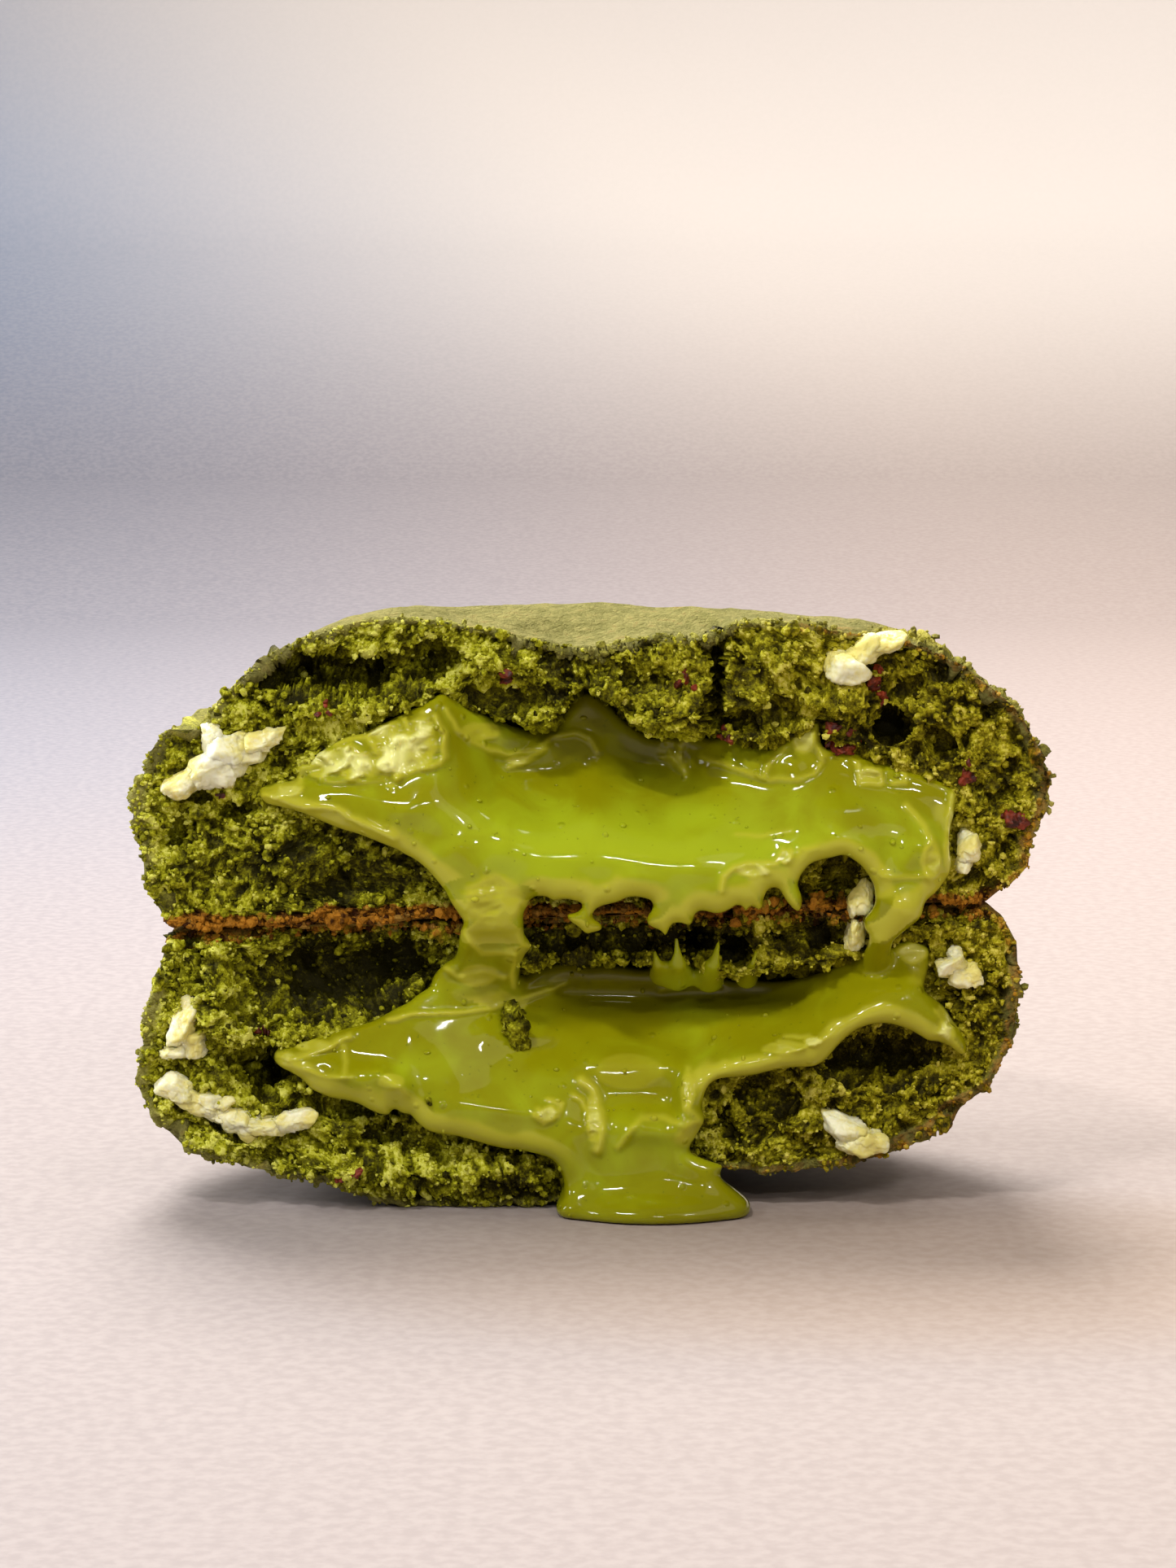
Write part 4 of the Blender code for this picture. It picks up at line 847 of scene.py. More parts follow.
def relaxed(points, quads, rounds):
    """Each point drawn half way towards the mean of its neighbours, a number of times."""
    first, second = quads.ravel(), np.roll(quads, -1, axis=1).ravel()
    count = np.bincount(first, minlength=len(points)) + np.bincount(second, minlength=len(points))
    for _ in range(rounds):
        total = np.stack([np.bincount(first, points[second, k], len(points))
                          + np.bincount(second, points[first, k], len(points)) for k in range(3)], 1)
        points = points + 0.5 * (total / count[:, None] - points)
    return points


grid_x, grid_y, grid_z = (low + CREAM_STEP * np.arange(count) for low, count in zip(CREAM_LOW, CREAM_CELLS))
flat_x, flat_z = np.meshgrid(grid_x, grid_z, indexing="ij")
flat_points = np.stack([flat_x.ravel(), np.zeros(flat_x.size), flat_z.ravel()], 1)
waves = (0.22 * swell(flat_points, 4.5, 5) + 0.35 * swell(flat_points, 9.0, 6)).reshape(flat_x.shape)
swells = sum(out * np.exp(-(distance_to_bends(((ax, az), (bx, bz)), flat_x, flat_z) / width) ** 2)
             for ax, az, bx, bz, width, out in CREAM_SWELLS)

# Two tables for each open face, as seen from the eye: the distance to its edge, and its depth.
edge_tables, face_tables = [], []
for edge, pool in ((UPPER_EDGE, UPPER_POOL), (LOWER_EDGE, LOWER_POOL), (STREAM_EDGE, None)):
    away = distance_to_loop(smooth_loop(edge), flat_x, flat_z)
    if pool is None:
        face = along(STREAM_FACE, flat_z) - 0.6 * np.exp(-((away + 1.0) / 0.7) ** 2)
    else:
        share, middle = pool_share(pool, flat_x, flat_z)
        face = pool_face(pool, flat_x, flat_z) - waves
        lip = smoothstep(-3.0, -1.6, away) * 0.35
        face = face - lip * (1.0 - smoothstep(0.25, 0.5, share))
    edge_tables.append(away)
    face_tables.append(face - swells)

# The cream's body: a slab behind each open face, the falls and strings, and the puddle, run together.
x, y, z = (g.astype(np.float32) for g in np.meshgrid(grid_x, grid_y, grid_z, indexing="ij"))
seen_x, seen_z = seen_from_eye(x, y, z)
field = np.full(x.shape, 1e3, np.float32)
# How deep the slab behind each open face is, and how round its edge.
slab_depths, round_edges = (4.6, 4.6, 3.4), (1.5, 1.7, 1.3)
for away_table, face_table, thick, round_edge in zip(edge_tables, face_tables, slab_depths, round_edges):
    away = lookup(away_table, seen_x, seen_z)
    front = lookup(face_table, seen_x, seen_z)
    slab = smooth_max(front - y, y - front - thick, 1.0)
    field = smooth_min(field, smooth_max(away, slab, round_edge), SLAB_BLEND)
# The right fall and the short strings: how flat, and bends of x, y, z and radius.
THIN_RUNS = (
    (0.9, ((30.4, -2.4, 30.6, 2.4), (28.9, -2.4, 27.8, 1.15), (28.6, -0.6, 26.0, 1.2),
           (28.4, 3.2, 23.0, 1.9))),
    (1.0, ((8.7, 0.2, 26.9, 0.28), (8.8, -0.1, 25.6, 0.42), (8.9, 0.5, 24.4, 0.85), (8.9, 4.0, 22.6, 1.6))),
    (1.0, ((12.9, 0.3, 26.6, 0.28), (12.6, 0.0, 25.4, 0.40), (12.3, 0.5, 24.3, 0.8), (12.1, 4.0, 22.4, 1.6))),
    (1.0, ((6.6, 0.4, 25.7, 0.26), (6.7, 0.3, 25.0, 0.34), (6.9, 0.8, 24.2, 0.6), (7.2, 4.0, 22.8, 1.2))),
    (1.0, ((16.6, 0.6, 25.6, 0.3), (16.3, 0.4, 24.6, 0.30), (16.0, 1.6, 23.6, 0.6), (15.8, 4.0, 22.4, 1.2))),
)
for flat, bends in THIN_RUNS:
    field = smooth_min(field, run_distance(x, y, z, bends, flat) * 0.85, RUN_BLEND)
off_puddle = [(at - middle) / reach for at, middle, reach in zip((x, y, z), PUDDLE_MIDDLE, PUDDLE_REACH)]
puddle = (np.sqrt(sum(share ** 2 for share in off_puddle)) - 1.0) * 2.2
field = np.maximum(smooth_min(field, puddle, PUDDLE_BLEND), -z)
# Its outermost layer counts as air, so that the surface closes.
field[0], field[-1], field[:, 0], field[:, -1], field[:, :, 0], field[:, :, -1] = (1.0,) * 6
points, quads = surface_net(field, CREAM_LOW, CREAM_STEP)
points = relaxed(points, quads, 4)

vertex_x, vertex_z = seen_from_eye(*points.T)
on_face, near_edge, downward = np.zeros(len(points)), np.full(len(points), -20.0), np.zeros(len(points))
for away_table, face_table in zip(edge_tables, face_tables):
    away = lookup(away_table, vertex_x, vertex_z)
    front = lookup(face_table, vertex_x, vertex_z)
    slope = lookup(np.gradient(away_table, CREAM_STEP, axis=1), vertex_x, vertex_z)
    here = (away < 1.2) & (np.abs(points[:, 1] - front) < 2.4)
    on_face = np.maximum(on_face, here * (1.0 - smoothstep(0.8, 2.2, np.abs(points[:, 1] - front))))
    closer = here & (away > near_edge)
    near_edge, downward = np.where(closer, away, near_edge), np.where(closer, -slope, downward)

# Ridges, films and ruffles push the open faces out, and make them pale where they have skinned, a
# paleness that is partly painted highlight and painted light.
out, pale_and_painted_light = np.zeros(len(points)), np.zeros(len(points))
wobble_x = vertex_x + 0.12 * swell(points, 1.1, 61)
wobble_z = vertex_z + 0.12 * swell(points, 1.1, 62)
for width, push, lightness, bends in CREAM_RIDGES:
    bends, width = np.array(bends), 1.25 * width
    low, high = bends.min(axis=0) - 2.0, bends.max(axis=0) + 2.0
    in_reach = (wobble_x > low[0]) & (wobble_x < high[0]) & (wobble_z > low[1]) & (wobble_z < high[1])
    near = np.flatnonzero(in_reach & (on_face > 0.0))
    shape = np.exp(-(distance_to_bends(bends, wobble_x[near], wobble_z[near]) / width) ** 2)
    out[near] += 0.7 * push * shape
    pale_and_painted_light[near] = np.maximum(pale_and_painted_light[near], 0.65 * lightness * shape)
drawn = [wobble_x * 0.55 + wobble_z * 0.35, points[:, 1] * 0.4, wobble_z * 1.25 - wobble_x * 0.35]
drawn = np.stack(drawn, 1)
drawn += 0.9 * swirl(points, 2.6, 74)
creases = (1.0 - np.abs(swell(drawn, 1.7, 71))) ** 3 + 0.6 * (1.0 - np.abs(swell(drawn, 0.9, 72))) ** 3
for centre_x, centre_z, reach_x, reach_z, lightness, ruffle in CREAM_PATCHES:
    far = np.hypot((wobble_x - centre_x) / reach_x, (wobble_z - centre_z) / reach_z)
    ragged = min(ruffle, 1.0)
    far = far + ragged * (0.35 * swell(points, 1.6, 73) + 0.15 * swell(points, 0.7, 77))
    inside = 1.0 - smoothstep(0.8 - 0.45 * ragged, 1.0, far)
    out += inside * (0.1 + 0.7 * ruffle * (creases - 0.5))
    pale_and_painted_light = np.maximum(pale_and_painted_light, lightness * inside * np.clip(1.0 + 0.55 * ragged * (creases - 1.0), 0.0, 1.0))
points[:, 1] -= 0.85 * out * on_face
points[:, 2] = np.maximum(points[:, 2], 0.0)

# The zones are how pale the cream is, how light in its body, and how deep in the dough. The paleness is a
# painted reflection of the pale table along lower rims that turn downward, and the skinned films, partly
# painted highlight. The body's lightness has a painted reflection of the room on the upper pool's bulge,
# and depth in the dough and nearness to the table darken the cream as painted shade.
near_edge = near_edge + 0.5 * swell(points, 2.6, 63) + 0.2 * swell(points, 0.9, 64)
painted_table_reflection = smoothstep(-2.4, -1.2, near_edge) * smoothstep(0.0, 0.55, downward)
painted_table_reflection = painted_table_reflection * smoothstep(4.0, 9.0, points[:, 2])
pale_film_and_table_reflection = np.maximum(0.5 * painted_table_reflection, np.clip(pale_and_painted_light * 1.25, 0.0, 1.0) * on_face)
tone = 0.5 + 0.35 * swell(points, 9.0, 41) + 0.25 * swell(points, 3.0, 42)
# Painted reflection: a lighter spot on the upper pool's bulge stands for the bright room mirrored there.
tone = tone * 0.6 + 0.5 * np.exp(-((vertex_x - 8.0) / 15.0) ** 2 - ((vertex_z - 36.0) / 5.0) ** 2)
# Painted shade: cream far back in the dough, and low by the table, is darker.
painted_recess_and_low_shade = np.maximum(smoothstep(2.0, 8.0, points[:, 1]), 0.6 * (1.0 - smoothstep(1.0, 5.0, points[:, 2])))
zone = np.stack([pale_film_and_table_reflection * (1.0 - 0.75 * painted_recess_and_low_shade), np.clip(tone, 0.0, 1.0), painted_recess_and_low_shade], 1)

cream_finish, place, feed = new_material(
    "green_tea_cream", IOR=1.42, Specular_IOR_Level=0.4,
    Subsurface_Weight=0.3, Subsurface_Radius=(1.0, 0.9, 0.15), Subsurface_Scale=0.0016)
pale_film_and_table_reflection, tone, painted_deep_shade = painted_zones(place)
flecks, cloud = place.noise(1800.0, Detail=2.0), place.noise(170.0, Distortion=1.2)
body = (tone + (cloud - 0.5) * 0.6).between(0.15, 0.85).mix((0.27, 0.26, 0.0015), (0.40, 0.48, 0.012))
body = (flecks.between(0.68, 0.74) * 0.5).mix(body, (0.13, 0.15, 0.006))
# Painted shade in the recesses and low by the table.
body = (painted_deep_shade * 0.65).mix(body, (0.12, 0.108, 0.0006))
# Painted reflection and pale films: the rims and the skinned films are paler.
body = (pale_film_and_table_reflection.between(0.0, 0.5) * 0.75).mix(body, (0.53, 0.50, 0.035))
feed("Base Color", (pale_film_and_table_reflection.between(0.45, 1.0) * 0.9).mix(body, (0.92, 0.92, 0.34)))
feed("Roughness", cloud.between(0.3, 0.7, 0.045, 0.09) + pale_film_and_table_reflection * 0.10)
bead = place.node("TexVoronoi", {}, {"Vector": place, "Scale": 420.0})
chance = Wire(bead.tree, bead.socket.node.outputs["Color"]).parts("SeparateColor")[0]
bead = (1.0 - bead.between(0.02, 0.20)) * chance.between(0.5, 0.55)
film = place.noise(330.0, Detail=2.0) * 0.16 + bead * 0.8
feed("Normal", film.bump(0.6, 0.0004))
cream_face, cream_zone = points[on_face > 0.5], zone[on_face > 0.5]
piece = mesh_object("flowing_cream", points, quads, cream_finish, zone)
# Its sides that lie hidden in the dough are thinned, which keeps the piece under 200,000 triangles.
hidden_side = piece.vertex_groups.new(name="hidden_side")
hidden_side.add(np.flatnonzero((on_face <= 0.0) & (points[:, 2] > 3.0)).tolist(), 1.0, "REPLACE")
thinned = piece.modifiers.new("thinned_hidden_side", "DECIMATE")
thinned.ratio, thinned.vertex_group = 0.74, hidden_side.name
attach(piece, "root")
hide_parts("cream")


# White chocolate. The real pieces are broken from a bar and baked into the dough, where they soften:
# waxy, pale, a little yellow, with blunt corners and a grainy break.
chocolate_finish, place, feed = new_material(
    "white_chocolate", IOR=1.45,
    Subsurface_Weight=0.35, Subsurface_Radius=(1.0, 0.85, 0.4), Subsurface_Scale=0.0015)
cloud, grit = place.noise(260.0), place.noise(2600.0)
feed("Base Color", (cloud + grit * 0.35).between(0.50, 0.80).mix((0.93, 0.90, 0.62), (0.80, 0.70, 0.20)))
feed("Roughness", grit.between(0.3, 0.7, 0.38, 0.6))
feed("Normal", grit.bump(0.3, 0.0002))


def broken_lump(centre, sizes, turn, seed, rings=60, sides=100):
    """A blunt broken lump on a grid of rings: in each direction the nearest of some random flat breaks.

    The reach in a direction is a soft minimum of each break's distance over the cosine to it, then
    stretched to the three sizes, roughened by broken grains and smooth noise, and turned in the plane of
    the torn face.
    """
    turns = np.linspace(0.0, 2.0 * math.pi, sides, endpoint=False)
    v, u = np.meshgrid(np.linspace(0.0, math.pi, rings + 1)[1:-1], turns, indexing="ij")
    way = np.stack([np.sin(v) * np.cos(u), np.sin(v) * np.sin(u), np.cos(v)], -1).reshape(-1, 3)
    way = np.concatenate([way, [(0.0, 0.0, 1.0), (0.0, 0.0, -1.0)]])
    rand = hashed(np.arange(14)[:, None] * np.array([1, 3, 5]), seed) * 2.0 - 1.0
    sides_first = np.concatenate([np.eye(3), -np.eye(3), np.zeros((8, 3))])
    breaks = sides_first + rand * np.where(sides_first.any(axis=1), 0.34, 1.0)[:, None]
    breaks /= np.linalg.norm(breaks, axis=1, keepdims=True)
    far = 0.78 + 0.24 * hashed(np.arange(14)[:, None] * np.array([2, 1, 7]), seed)[:, 0]
    inverse = np.maximum(way @ breaks.T, 0.0) / far
    reach = 1.0 / np.maximum((inverse ** 12).sum(axis=1) ** (1.0 / 12.0), 0.72)
    scaled = way * reach[:, None] * sizes
    bent = scaled + 0.35 * swirl(scaled, 0.9, seed + 4)
    rough = 0.3 * (shards(bent, 2.4, seed + 1) - 0.5) + 0.2 * (shards(bent, 0.8, seed + 2) - 0.5)
    rough = rough + 0.35 * swell(scaled, 1.7, seed + 3) + 0.1 * swell(scaled, 0.6, seed + 7)
    scaled = scaled + way * rough[:, None]
    angle = math.radians(turn)
    x = scaled[:, 0] * math.cos(angle) - scaled[:, 2] * math.sin(angle)
    z = scaled[:, 0] * math.sin(angle) + scaled[:, 2] * math.cos(angle)
    ids = np.arange((rings - 1) * sides).reshape(rings - 1, sides)
    body = np.stack([ids[:-1], ids[1:], np.roll(ids[1:], -1, 1), np.roll(ids[:-1], -1, 1)], -1).reshape(-1, 4)
    top, bottom = len(way) - 2, len(way) - 1
    cap = np.stack([np.full(sides, top), ids[0], np.roll(ids[0], -1), np.roll(ids[0], -1)], -1)
    foot = np.stack([np.full(sides, bottom), np.roll(ids[-1], -1), ids[-1], ids[-1]], -1)
    return np.stack([x, scaled[:, 1], z], 1) + centre, np.concatenate([body, cap, foot])


# Each node's lumps: centre x, y, z, half sizes across, back and up, and turn in degrees.
CHOCOLATE = {
    "white_chocolate_01": (
        ((-39.4, -0.3, 42.5), (2.5, 1.9, 1.3), 30), ((-37.2, -0.5, 43.8), (2.3, 2.1, 1.8), 16),
        ((-35.4, -0.4, 45.4), (2.2, 2.0, 2.1), -24), ((-34.0, 0.1, 45.9), (2.9, 1.9, 1.5), 10),
        ((-31.6, -0.3, 46.8), (2.4, 1.7, 1.1), 16), ((-36.8, 0.0, 47.3), (1.2, 1.5, 1.7), 30)),
    "white_chocolate_02": (
        ((25.0, 0.3, 53.8), (2.2, 2.2, 2.1), 30), ((26.6, 0.3, 55.2), (2.6, 2.2, 1.3), 34),
        ((28.8, 0.6, 56.3), (2.2, 2.2, 0.9), 8)),
    "white_chocolate_03": (
        ((37.6, 0.2, 35.9), (1.2, 2.0, 1.5), 12), ((36.9, 0.3, 34.4), (0.9, 1.6, 0.9), -20)),
    "white_chocolate_04": (
        ((26.8, 1.2, 30.8), (1.1, 2.2, 2.1), -24),),
    "white_chocolate_05": (
        ((26.4, 1.2, 27.0), (1.1, 2.2, 1.8), -12),),
    "white_chocolate_06": (
        ((-39.7, -0.1, 18.9), (1.4, 2.0, 2.8), -12), ((-39.0, 0.0, 16.6), (1.5, 1.7, 1.5), 10),
        ((-40.9, 0.1, 15.6), (1.3, 1.6, 0.8), 4)),
    "white_chocolate_07": (
        ((-40.4, 0.2, 11.9), (1.9, 2.0, 1.4), -34), ((-38.6, 0.3, 10.5), (2.5, 1.9, 1.3), -26),
        ((-36.6, 0.4, 10.4), (1.7, 1.7, 0.9), 20), ((-36.6, 0.3, 9.4), (2.0, 1.6, 0.9), -16)),
    "white_chocolate_08": (
        ((-35.0, 0.1, 8.9), (2.2, 1.6, 1.0), -14), ((-32.2, -0.3, 8.3), (2.9, 1.6, 0.8), -4),
        ((-29.3, -0.6, 8.9), (2.4, 1.6, 1.0), 12), ((-33.6, 0.0, 7.8), (1.2, 1.4, 0.8), 40)),
    "white_chocolate_09": (
        ((35.6, -0.2, 24.3), (1.5, 2.0, 1.0), 24), ((37.4, 0.1, 23.6), (1.7, 1.8, 1.3), -8),
        ((36.2, 0.2, 25.4), (0.9, 1.6, 0.8), 10)),
    "white_chocolate_10": (
        ((25.2, -0.5, 7.8), (2.3, 2.0, 1.3), -26), ((27.3, -0.3, 6.8), (2.9, 2.0, 1.3), -14)),
}
for index, (name, pieces) in enumerate(CHOCOLATE.items()):
    parts = [broken_lump(np.array(centre), np.array(sizes), turn, 200 + 9 * index + k)
             for k, (centre, sizes, turn) in enumerate(pieces)]
    starts = np.cumsum([0] + [len(p) for p, q in parts[:-1]])
    points = np.concatenate([p for p, q in parts])
    quads = np.concatenate([q + start for start, (p, q) in zip(starts, parts)])
    piece = mesh_object(name + "_piece", points, quads, chocolate_finish)
    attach(piece, "root")
    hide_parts(name)


# Loose grains and clumps of crumb. The tear leaves both torn faces covered in them, some only just
# held by the crumb behind, and more of them lie along the seam of the browned bases.
GRAINS_ON_EACH, CLUMPS_ON_EACH, SEAM_REACH = 8600, 110, 1.3


def ball_faces(rounds):
    """A 20-sided ball, its faces split in four a number of times, as points on the unit ball and faces."""
    g = (1.0 + math.sqrt(5.0)) / 2.0
    points = [np.array(p) / math.hypot(1.0, g) for p in (
        (-1, g, 0), (1, g, 0), (-1, -g, 0), (1, -g, 0), (0, -1, g), (0, 1, g), (0, -1, -g), (0, 1, -g),
        (g, 0, -1), (g, 0, 1), (-g, 0, -1), (-g, 0, 1))]
    faces = [(0, 11, 5), (0, 5, 1), (0, 1, 7), (0, 7, 10), (0, 10, 11), (1, 5, 9), (5, 11, 4), (11, 10, 2),
             (10, 7, 6), (7, 1, 8), (3, 9, 4), (3, 4, 2), (3, 2, 6), (3, 6, 8), (3, 8, 9), (4, 9, 5),
             (2, 4, 11), (6, 2, 10), (8, 6, 7), (9, 8, 1)]
    for _ in range(rounds):
        halves, finer = {}, []
        for face in faces:
            mids = []
            for a, b in zip(face, face[1:] + face[:1]):
                key = (min(a, b), max(a, b))
                if key not in halves:
                    middle = points[a] + points[b]
                    halves[key] = len(points)
                    points.append(middle / np.linalg.norm(middle))
                mids.append(halves[key])
            finer += [(face[k], mids[k], mids[k - 1]) for k in range(3)] + [tuple(mids)]
        faces = finer
    return np.array(points), np.array(faces)


def grains(spots, outward, sizes, seed, rounds):
    """Uneven balls, each stretched by its own random shares, its middle out by a quarter of its size."""
    ball, faces = ball_faces(rounds)
    count = len(spots)
    rng = np.random.default_rng(seed)
    stretch = rng.uniform(0.6, 1.3, (count, 1, 3))
    bumps = 1.0 + rng.uniform(-0.3, 0.3, (count, len(ball), 1)) * (rounds == 0)
    body = ball[None] * bumps * stretch * sizes[:, None, None]
    points = body + (spots + outward * (sizes * 0.25)[:, None])[:, None]
    starts = (np.arange(count) * len(ball))[:, None, None]
    return points.reshape(-1, 3), (faces[None] + starts).reshape(-1, 3)


def clumps(spots, outward, sizes, seed, pushes):
    """Fine balls pushed about by smooth noise, each push a share of their size, a noise size and a seed."""
    body, faces = grains(spots, outward, sizes, seed, rounds=3)
    each = np.repeat(sizes, len(body) // len(sizes))[:, None]
    for share, noise_size, push_seed in pushes:
        body = body + share * each * swirl(body, noise_size, push_seed)
    body[:, 2] = np.maximum(body[:, 2], 0.0)
    return body, faces


for name, seed in (("upper_half", 5), ("lower_half", 6)):
    points, outward, behind, hollow, zone = half_faces[name]
    rng = np.random.default_rng(seed)
    at_seam = np.abs(points[:, 2] - base_level(points[:, 0])) < SEAM_REACH
    weight = behind ** 2 * (hollow < 2.0) * (0.25 + zone[:, 0]) * np.where(at_seam, 3.2, 1.0)
    weight = weight * (1.0 - 0.8 * zone[:, 2] * (name == "lower_half"))
    chosen = rng.choice(len(points), GRAINS_ON_EACH, replace=False, p=weight / weight.sum())
    sizes = np.clip(rng.lognormal(-1.75, 0.38, len(chosen)), 0.09, 0.42)
    sizes = sizes * np.where(at_seam[chosen], 1.35, 1.0)
    body, faces = grains(points[chosen], outward[chosen], sizes, seed + 20, rounds=0)
    body[:, 2] = np.maximum(body[:, 2], 0.0)
    # Each grain's lightness is random, plus the crumb's painted light and shade where it sits.
    tone = np.clip(rng.normal(0.30, 0.22, len(chosen)) + 0.55 * zone[chosen, 0], 0.05, 1.0)
    brown = np.maximum(zone[chosen, 1] * 0.9, at_seam[chosen] * rng.uniform(0.0, 1.0, len(chosen)))
    # Painted shade: grains that turn away from the eye take the skin's duller colour, as the crumb does.
    painted_back_shade = zone[chosen, 2] * smoothstep(-0.45, 0.1, outward[chosen, 1])
    zones = np.repeat(np.stack([tone, brown, painted_back_shade], 1), len(body) // len(chosen), axis=0)
    piece = mesh_object(name + "_grains", body, faces, crumb_finish, zones)
    piece.data.polygons.foreach_set("use_smooth", np.zeros(len(piece.data.polygons), bool))
    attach(piece, "root")
    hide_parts(name)

    lump_weight = behind ** 2 * (hollow < 1.0)
    chosen = rng.choice(len(points), CLUMPS_ON_EACH, replace=False, p=lump_weight / lump_weight.sum())
    sizes = np.clip(rng.lognormal(-0.75, 0.3, len(chosen)), 0.3, 0.85)
    pushes = (0.5, 0.8, seed + 50), (0.3, 0.35, seed + 53)
    body, faces = clumps(points[chosen], outward[chosen], sizes, seed + 40, pushes)
    tone = np.clip(0.55 + 0.5 * swell(body, 0.6, seed + 56), 0.0, 1.0)
    # Painted shade: clumps that turn away from the eye take the skin's duller colour, as the crumb does.
    painted_back_shade = zone[chosen, 2] * smoothstep(-0.45, 0.1, outward[chosen, 1])
    shared = np.repeat(np.stack([zone[chosen, 1] * 0.8, painted_back_shade], 1), len(body) // len(chosen), axis=0)
    piece = mesh_object(name + "_clumps", body, faces, crumb_finish, np.column_stack([tone, shared]))
    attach(piece, "root")
    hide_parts(name)


# Air beads. Stirring leaves fine bubbles in the cream, and they rise to its open faces, where its skin
# holds them as low domes that each catch the light.
bead_count = 90
rng = np.random.default_rng(51)
chosen = rng.choice(len(cream_face), bead_count, replace=False)
sizes = rng.uniform(0.13, 0.32, len(chosen))
into_cream = np.tile((0.0, 0.5, 0.0), (bead_count, 1))
body, faces = grains(cream_face[chosen], into_cream, sizes, 52, rounds=2)
body[:, 2] = np.maximum(body[:, 2], 0.0)
zones = np.repeat(cream_zone[chosen], len(body) // len(chosen), axis=0)
piece = mesh_object("cream_beads", body, faces, cream_finish, zones)
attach(piece, "root")
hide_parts("cream")


# Carried crumbs. On its way down the lower cream tore three crumbs off the dough and carried them
# along, stuck to its open face.
CARRIED = ((-7.6, 18.2, 1.5), (-6.9, 17.1, 1.3), (-15.6, 11.6, 0.5))
spots = [cream_face[np.argmin(np.hypot(cream_face[:, 0] - x, cream_face[:, 2] - z))] for x, z, _ in CARRIED]
sizes = np.array([size for _, _, size in CARRIED])
pushes = (0.5, 0.9, 92), (0.25, 0.35, 95)
body, faces = clumps(np.array(spots), np.tile((0.0, -1.0, 0.3), (len(CARRIED), 1)), sizes, 91, pushes)
tone = np.clip(0.55 + 0.5 * swell(body, 0.6, 98), 0.0, 1.0)
piece = mesh_object("carried_crumbs", body, faces, crumb_finish, np.outer(tone, (1.0, 0.0, 0.0)))
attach(piece, "root")
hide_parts("lower_half")


# Dried red fruit. Small bits were stirred into the dough and baked in, and the tear has pulled each of
# them apart into a few shreds that stick in the crumb.
fruit_finish, place, feed = new_material("dried_red_fruit", IOR=1.45)
vein = place.noise(900.0)
feed("Base Color", vein.between(0.35, 0.7).mix((0.045, 0.004, 0.001), (0.25, 0.028, 0.003)))
feed("Roughness", vein.between(0.3, 0.7, 0.45, 0.65))
feed("Normal", vein.bump(0.4, 0.0003))
# Each piece of fruit: x, z and size.
FRUIT = ((-8.1, 52.9, 0.8), (-25.6, 49.9, 0.7), (9.5, 52.3, 1.0), (24.7, 47.5, 1.5), (41.4, 38.8, 1.1),
         (37.4, 43.0, 0.8), (27.9, 52.7, 1.1), (13.5, 47.1, 0.6), (-36.0, 41.4, 0.6), (-23.6, 3.8, 0.9),
         (-32.0, 17.6, 0.6), (28.6, 51.0, 0.8))
SHREDS_OF_EACH = 4
spots, ways, sizes = [], [], []
rng = np.random.default_rng(77)
for fruit_x, fruit_z, size in FRUIT:
    points, outward, behind, hollow, zone = half_faces["upper_half" if fruit_z > BASE_Z else "lower_half"]
    for shift_x, shift_z in rng.normal(0.0, 0.55 * size, (SHREDS_OF_EACH, 2)):
        gap = np.hypot(points[:, 0] - fruit_x - shift_x, points[:, 2] - fruit_z - shift_z)
        nearest = int(np.argmin(gap + 50.0 * (behind < 0.9)))
        spots.append(points[nearest])
        ways.append(outward[nearest])
        sizes.append(size * rng.uniform(0.3, 0.7))
pushes = (0.7, 0.7, 81), (0.3, 0.3, 84)
body, faces = clumps(np.array(spots), np.array(ways), np.array(sizes), 77, pushes)
piece = mesh_object("dried_fruit_bits", body, faces, fruit_finish)
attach(piece, "root")


# The table and the light. The table top is pale and curves up behind, and painted light colours it: cool
# and dimmer at the left, warm at the right, brighter up the backdrop, and a painted warm patch in the
# shade in front of the cookie. Soft daylight comes from behind, and small lights in front make the sparks
# on the cream.
floor_mesh = bpy.data.meshes.new("table_top")
reach = np.array([-900.0, 560.0, 760.0, 900.0, 980.0, 1020.0, 1030.0, 1030.0]) * MM
rise = np.array([0.0, 0.0, 20.0, 80.0, 190.0, 340.0, 520.0, 1500.0]) * MM
side = np.array([-1400.0, 1400.0]) * MM
points = np.stack([np.tile(side, len(reach)), np.repeat(reach, 2), np.repeat(rise, 2) - 0.0001], 1)
rows = np.arange(len(reach) - 1)[:, None] * 2
floor_mesh.from_pydata(points.tolist(), [], (rows + np.array([0, 1, 3, 2])).tolist())
floor_mesh.polygons.foreach_set("use_smooth", np.ones(len(floor_mesh.polygons), bool))
floor_finish, place, feed = new_material("pale_table", Roughness=0.75)
tooth = place.noise(700.0)
across, far, height = place.parts()
# Painted light: dimmer and cooler at the left and further back, warmer at the right, brighter up the
# backdrop.
cool = far.between(0.0, 0.35).mix((0.24, 0.208, 0.216), (0.175, 0.175, 0.215))
cool = height.between(0.0, 0.12).mix(cool, (0.26, 0.33, 0.48))
warm = far.between(-0.05, 0.25).mix((0.335, 0.272, 0.245), (0.345, 0.275, 0.25))
warm = height.between(0.0, 0.10).mix(warm, (0.84, 0.76, 0.70))
pale_and_painted_light = (across + height * 1.2).between(-0.16, 0.16).mix(cool, warm)
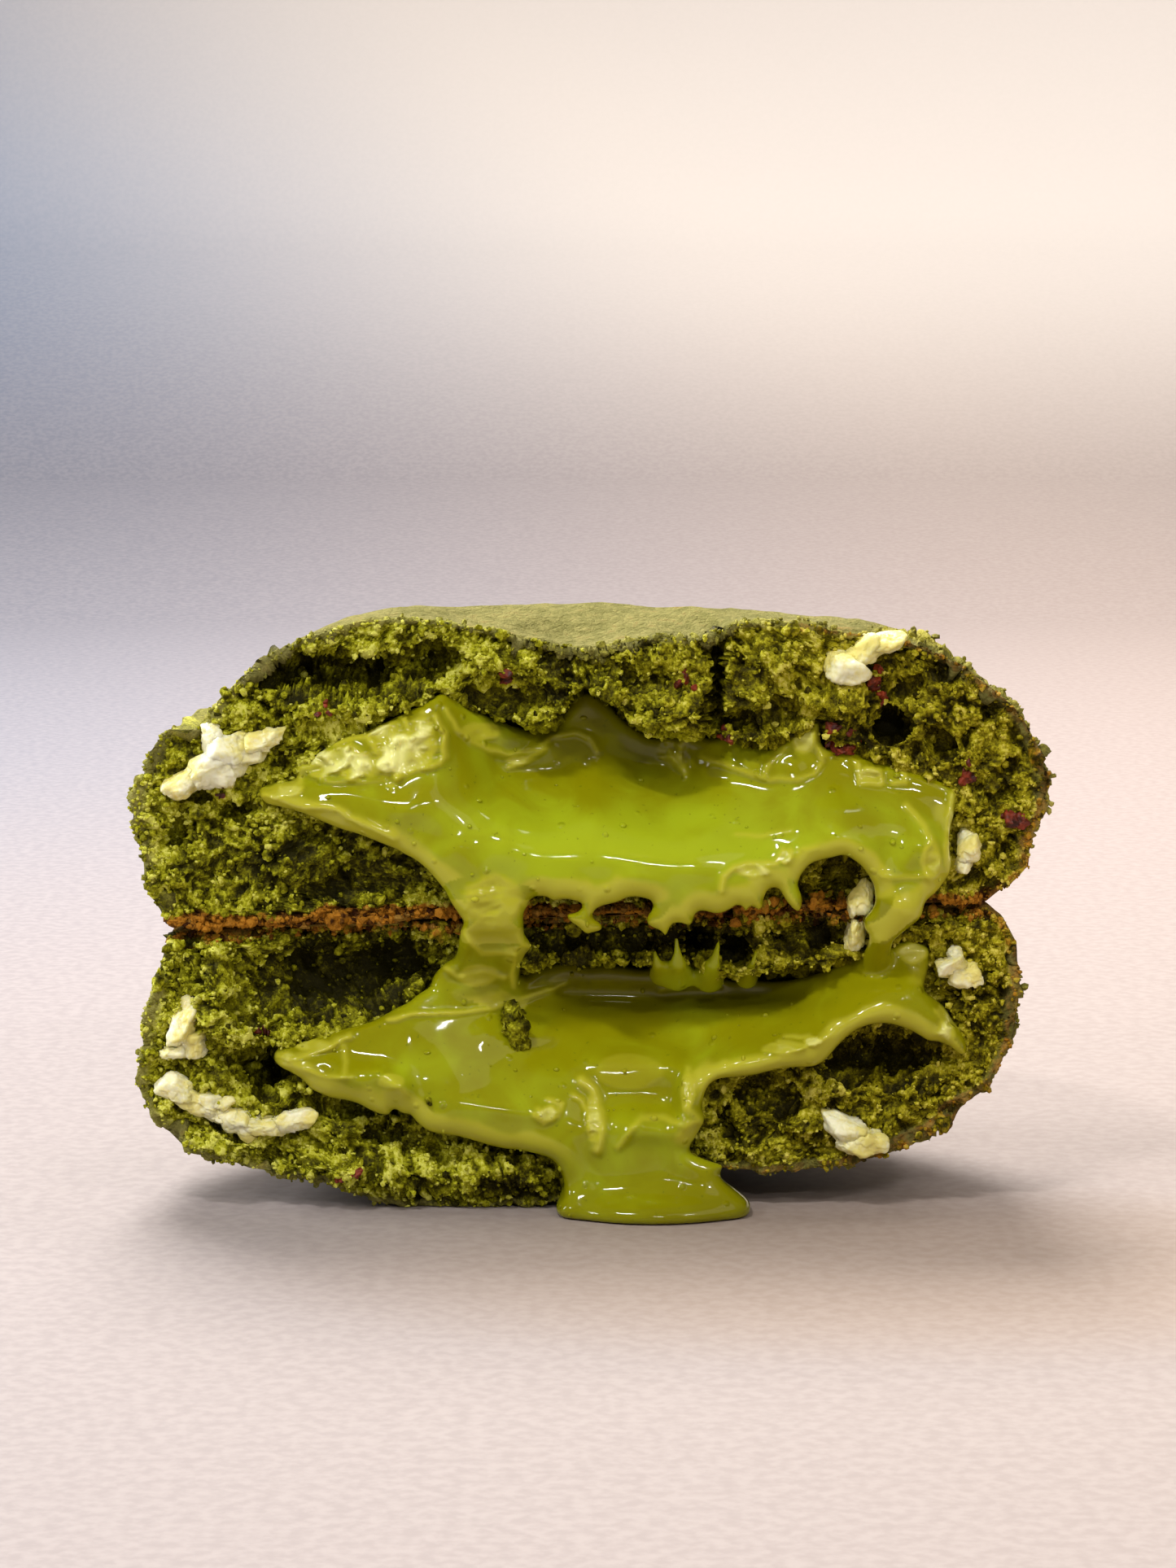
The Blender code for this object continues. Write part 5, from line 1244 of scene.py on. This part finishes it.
# Painted warm patch: the shade on the table in front of the cookie is tinted warmer.
painted_warm_patch = (across - 0.03) * (across - 0.03) * 300.0 + (far + 0.042) * (far + 0.042) * 1000.0
painted_warm_patch = painted_warm_patch.between(0.0, 1.4).mix((1.07, 0.98, 0.86), (1.0, 1.0, 1.0))
pale_and_painted_light = pale_and_painted_light.vector_math("MULTIPLY", painted_warm_patch)
feed("Base Color", (tooth.between(0.3, 0.7) * 0.06).mix(pale_and_painted_light, (1.0, 0.9, 0.85)))
feed("Normal", tooth.bump(0.04, 0.0002))
floor_mesh.materials.append(floor_finish)
floor = bpy.data.objects.new("table_top", floor_mesh)
bpy.context.scene.collection.objects.link(floor)


def soft_light(name, place, size, watts, colour, target=(0.0, 0.0, 0.03)):
    """A flat light of that size, turned to the object unless a target is given."""
    light = bpy.data.lights.new(name, "AREA")
    light.shape, light.energy, light.color = "RECTANGLE", watts, colour
    light.size, light.size_y = size
    made = bpy.data.objects.new(name, light)
    made.location = place
    made.rotation_euler = (Vector(target) - Vector(place)).to_track_quat("-Z", "Y").to_euler()
    bpy.context.scene.collection.objects.link(made)


soft_light("window", (-0.12, 0.36, 0.60), (0.36, 0.36), 9.0, (1.0, 0.97, 0.92))
soft_light("left_glow", (-0.72, 0.10, 0.30), (0.25, 0.25), 5.0, (0.97, 1.0, 1.0))
soft_light("spark", (-0.20, -0.36, 0.58), (0.12, 0.025), 1.9, (1.0, 0.99, 0.96))
soft_light("second_spark", (0.30, -0.44, 0.42), (0.08, 0.015), 0.6, (1.0, 0.98, 0.94))
soft_light("third_spark", (0.05, -0.52, 0.30), (0.07, 0.012), 0.35, (1.0, 0.98, 0.94))
soft_light("fourth_spark", (-0.42, -0.30, 0.34), (0.06, 0.03), 0.5, (1.0, 0.99, 0.97))
soft_light("room", (0.45, -0.55, 0.60), (0.5, 0.5), 0.9, (1.0, 0.84, 0.64))
soft_light("backdrop_wash", (0.45, 0.25, 0.95), (0.5, 0.5), 5.0, (1.0, 0.97, 0.95), (0.25, 1.0, 0.35))
world = bpy.data.worlds.new("soft_room")
world.use_nodes = True
world.node_tree.nodes["Background"].inputs["Color"].default_value = (0.97, 0.93, 0.90, 1.0)
world.node_tree.nodes["Background"].inputs["Strength"].default_value = 0.15
bpy.context.scene.world = world
bpy.context.scene.view_settings.view_transform = "Standard"

# The camera stands well back with a long lens, a little above the cookie.
camera = bpy.data.cameras.new("camera")
camera.sensor_fit = "HORIZONTAL"
camera.sensor_width = 36.0
eye_distance, view_width, aim_height = 418.0, 115.3, 42.4
camera.lens = camera.sensor_width * eye_distance / view_width
camera.clip_start, camera.clip_end = 0.01, 10.0
eye = bpy.data.objects.new("camera", camera)
eye.location = Vector((TORN_FACE_X, TORN_FACE_Y + EYE_Y, EYE_Z)) * MM
aim = Vector((TORN_FACE_X, TORN_FACE_Y, aim_height)) * MM
eye.rotation_euler = (aim - eye.location).to_track_quat("-Z", "Y").to_euler()
bpy.context.scene.collection.objects.link(eye)
bpy.context.scene.camera = eye
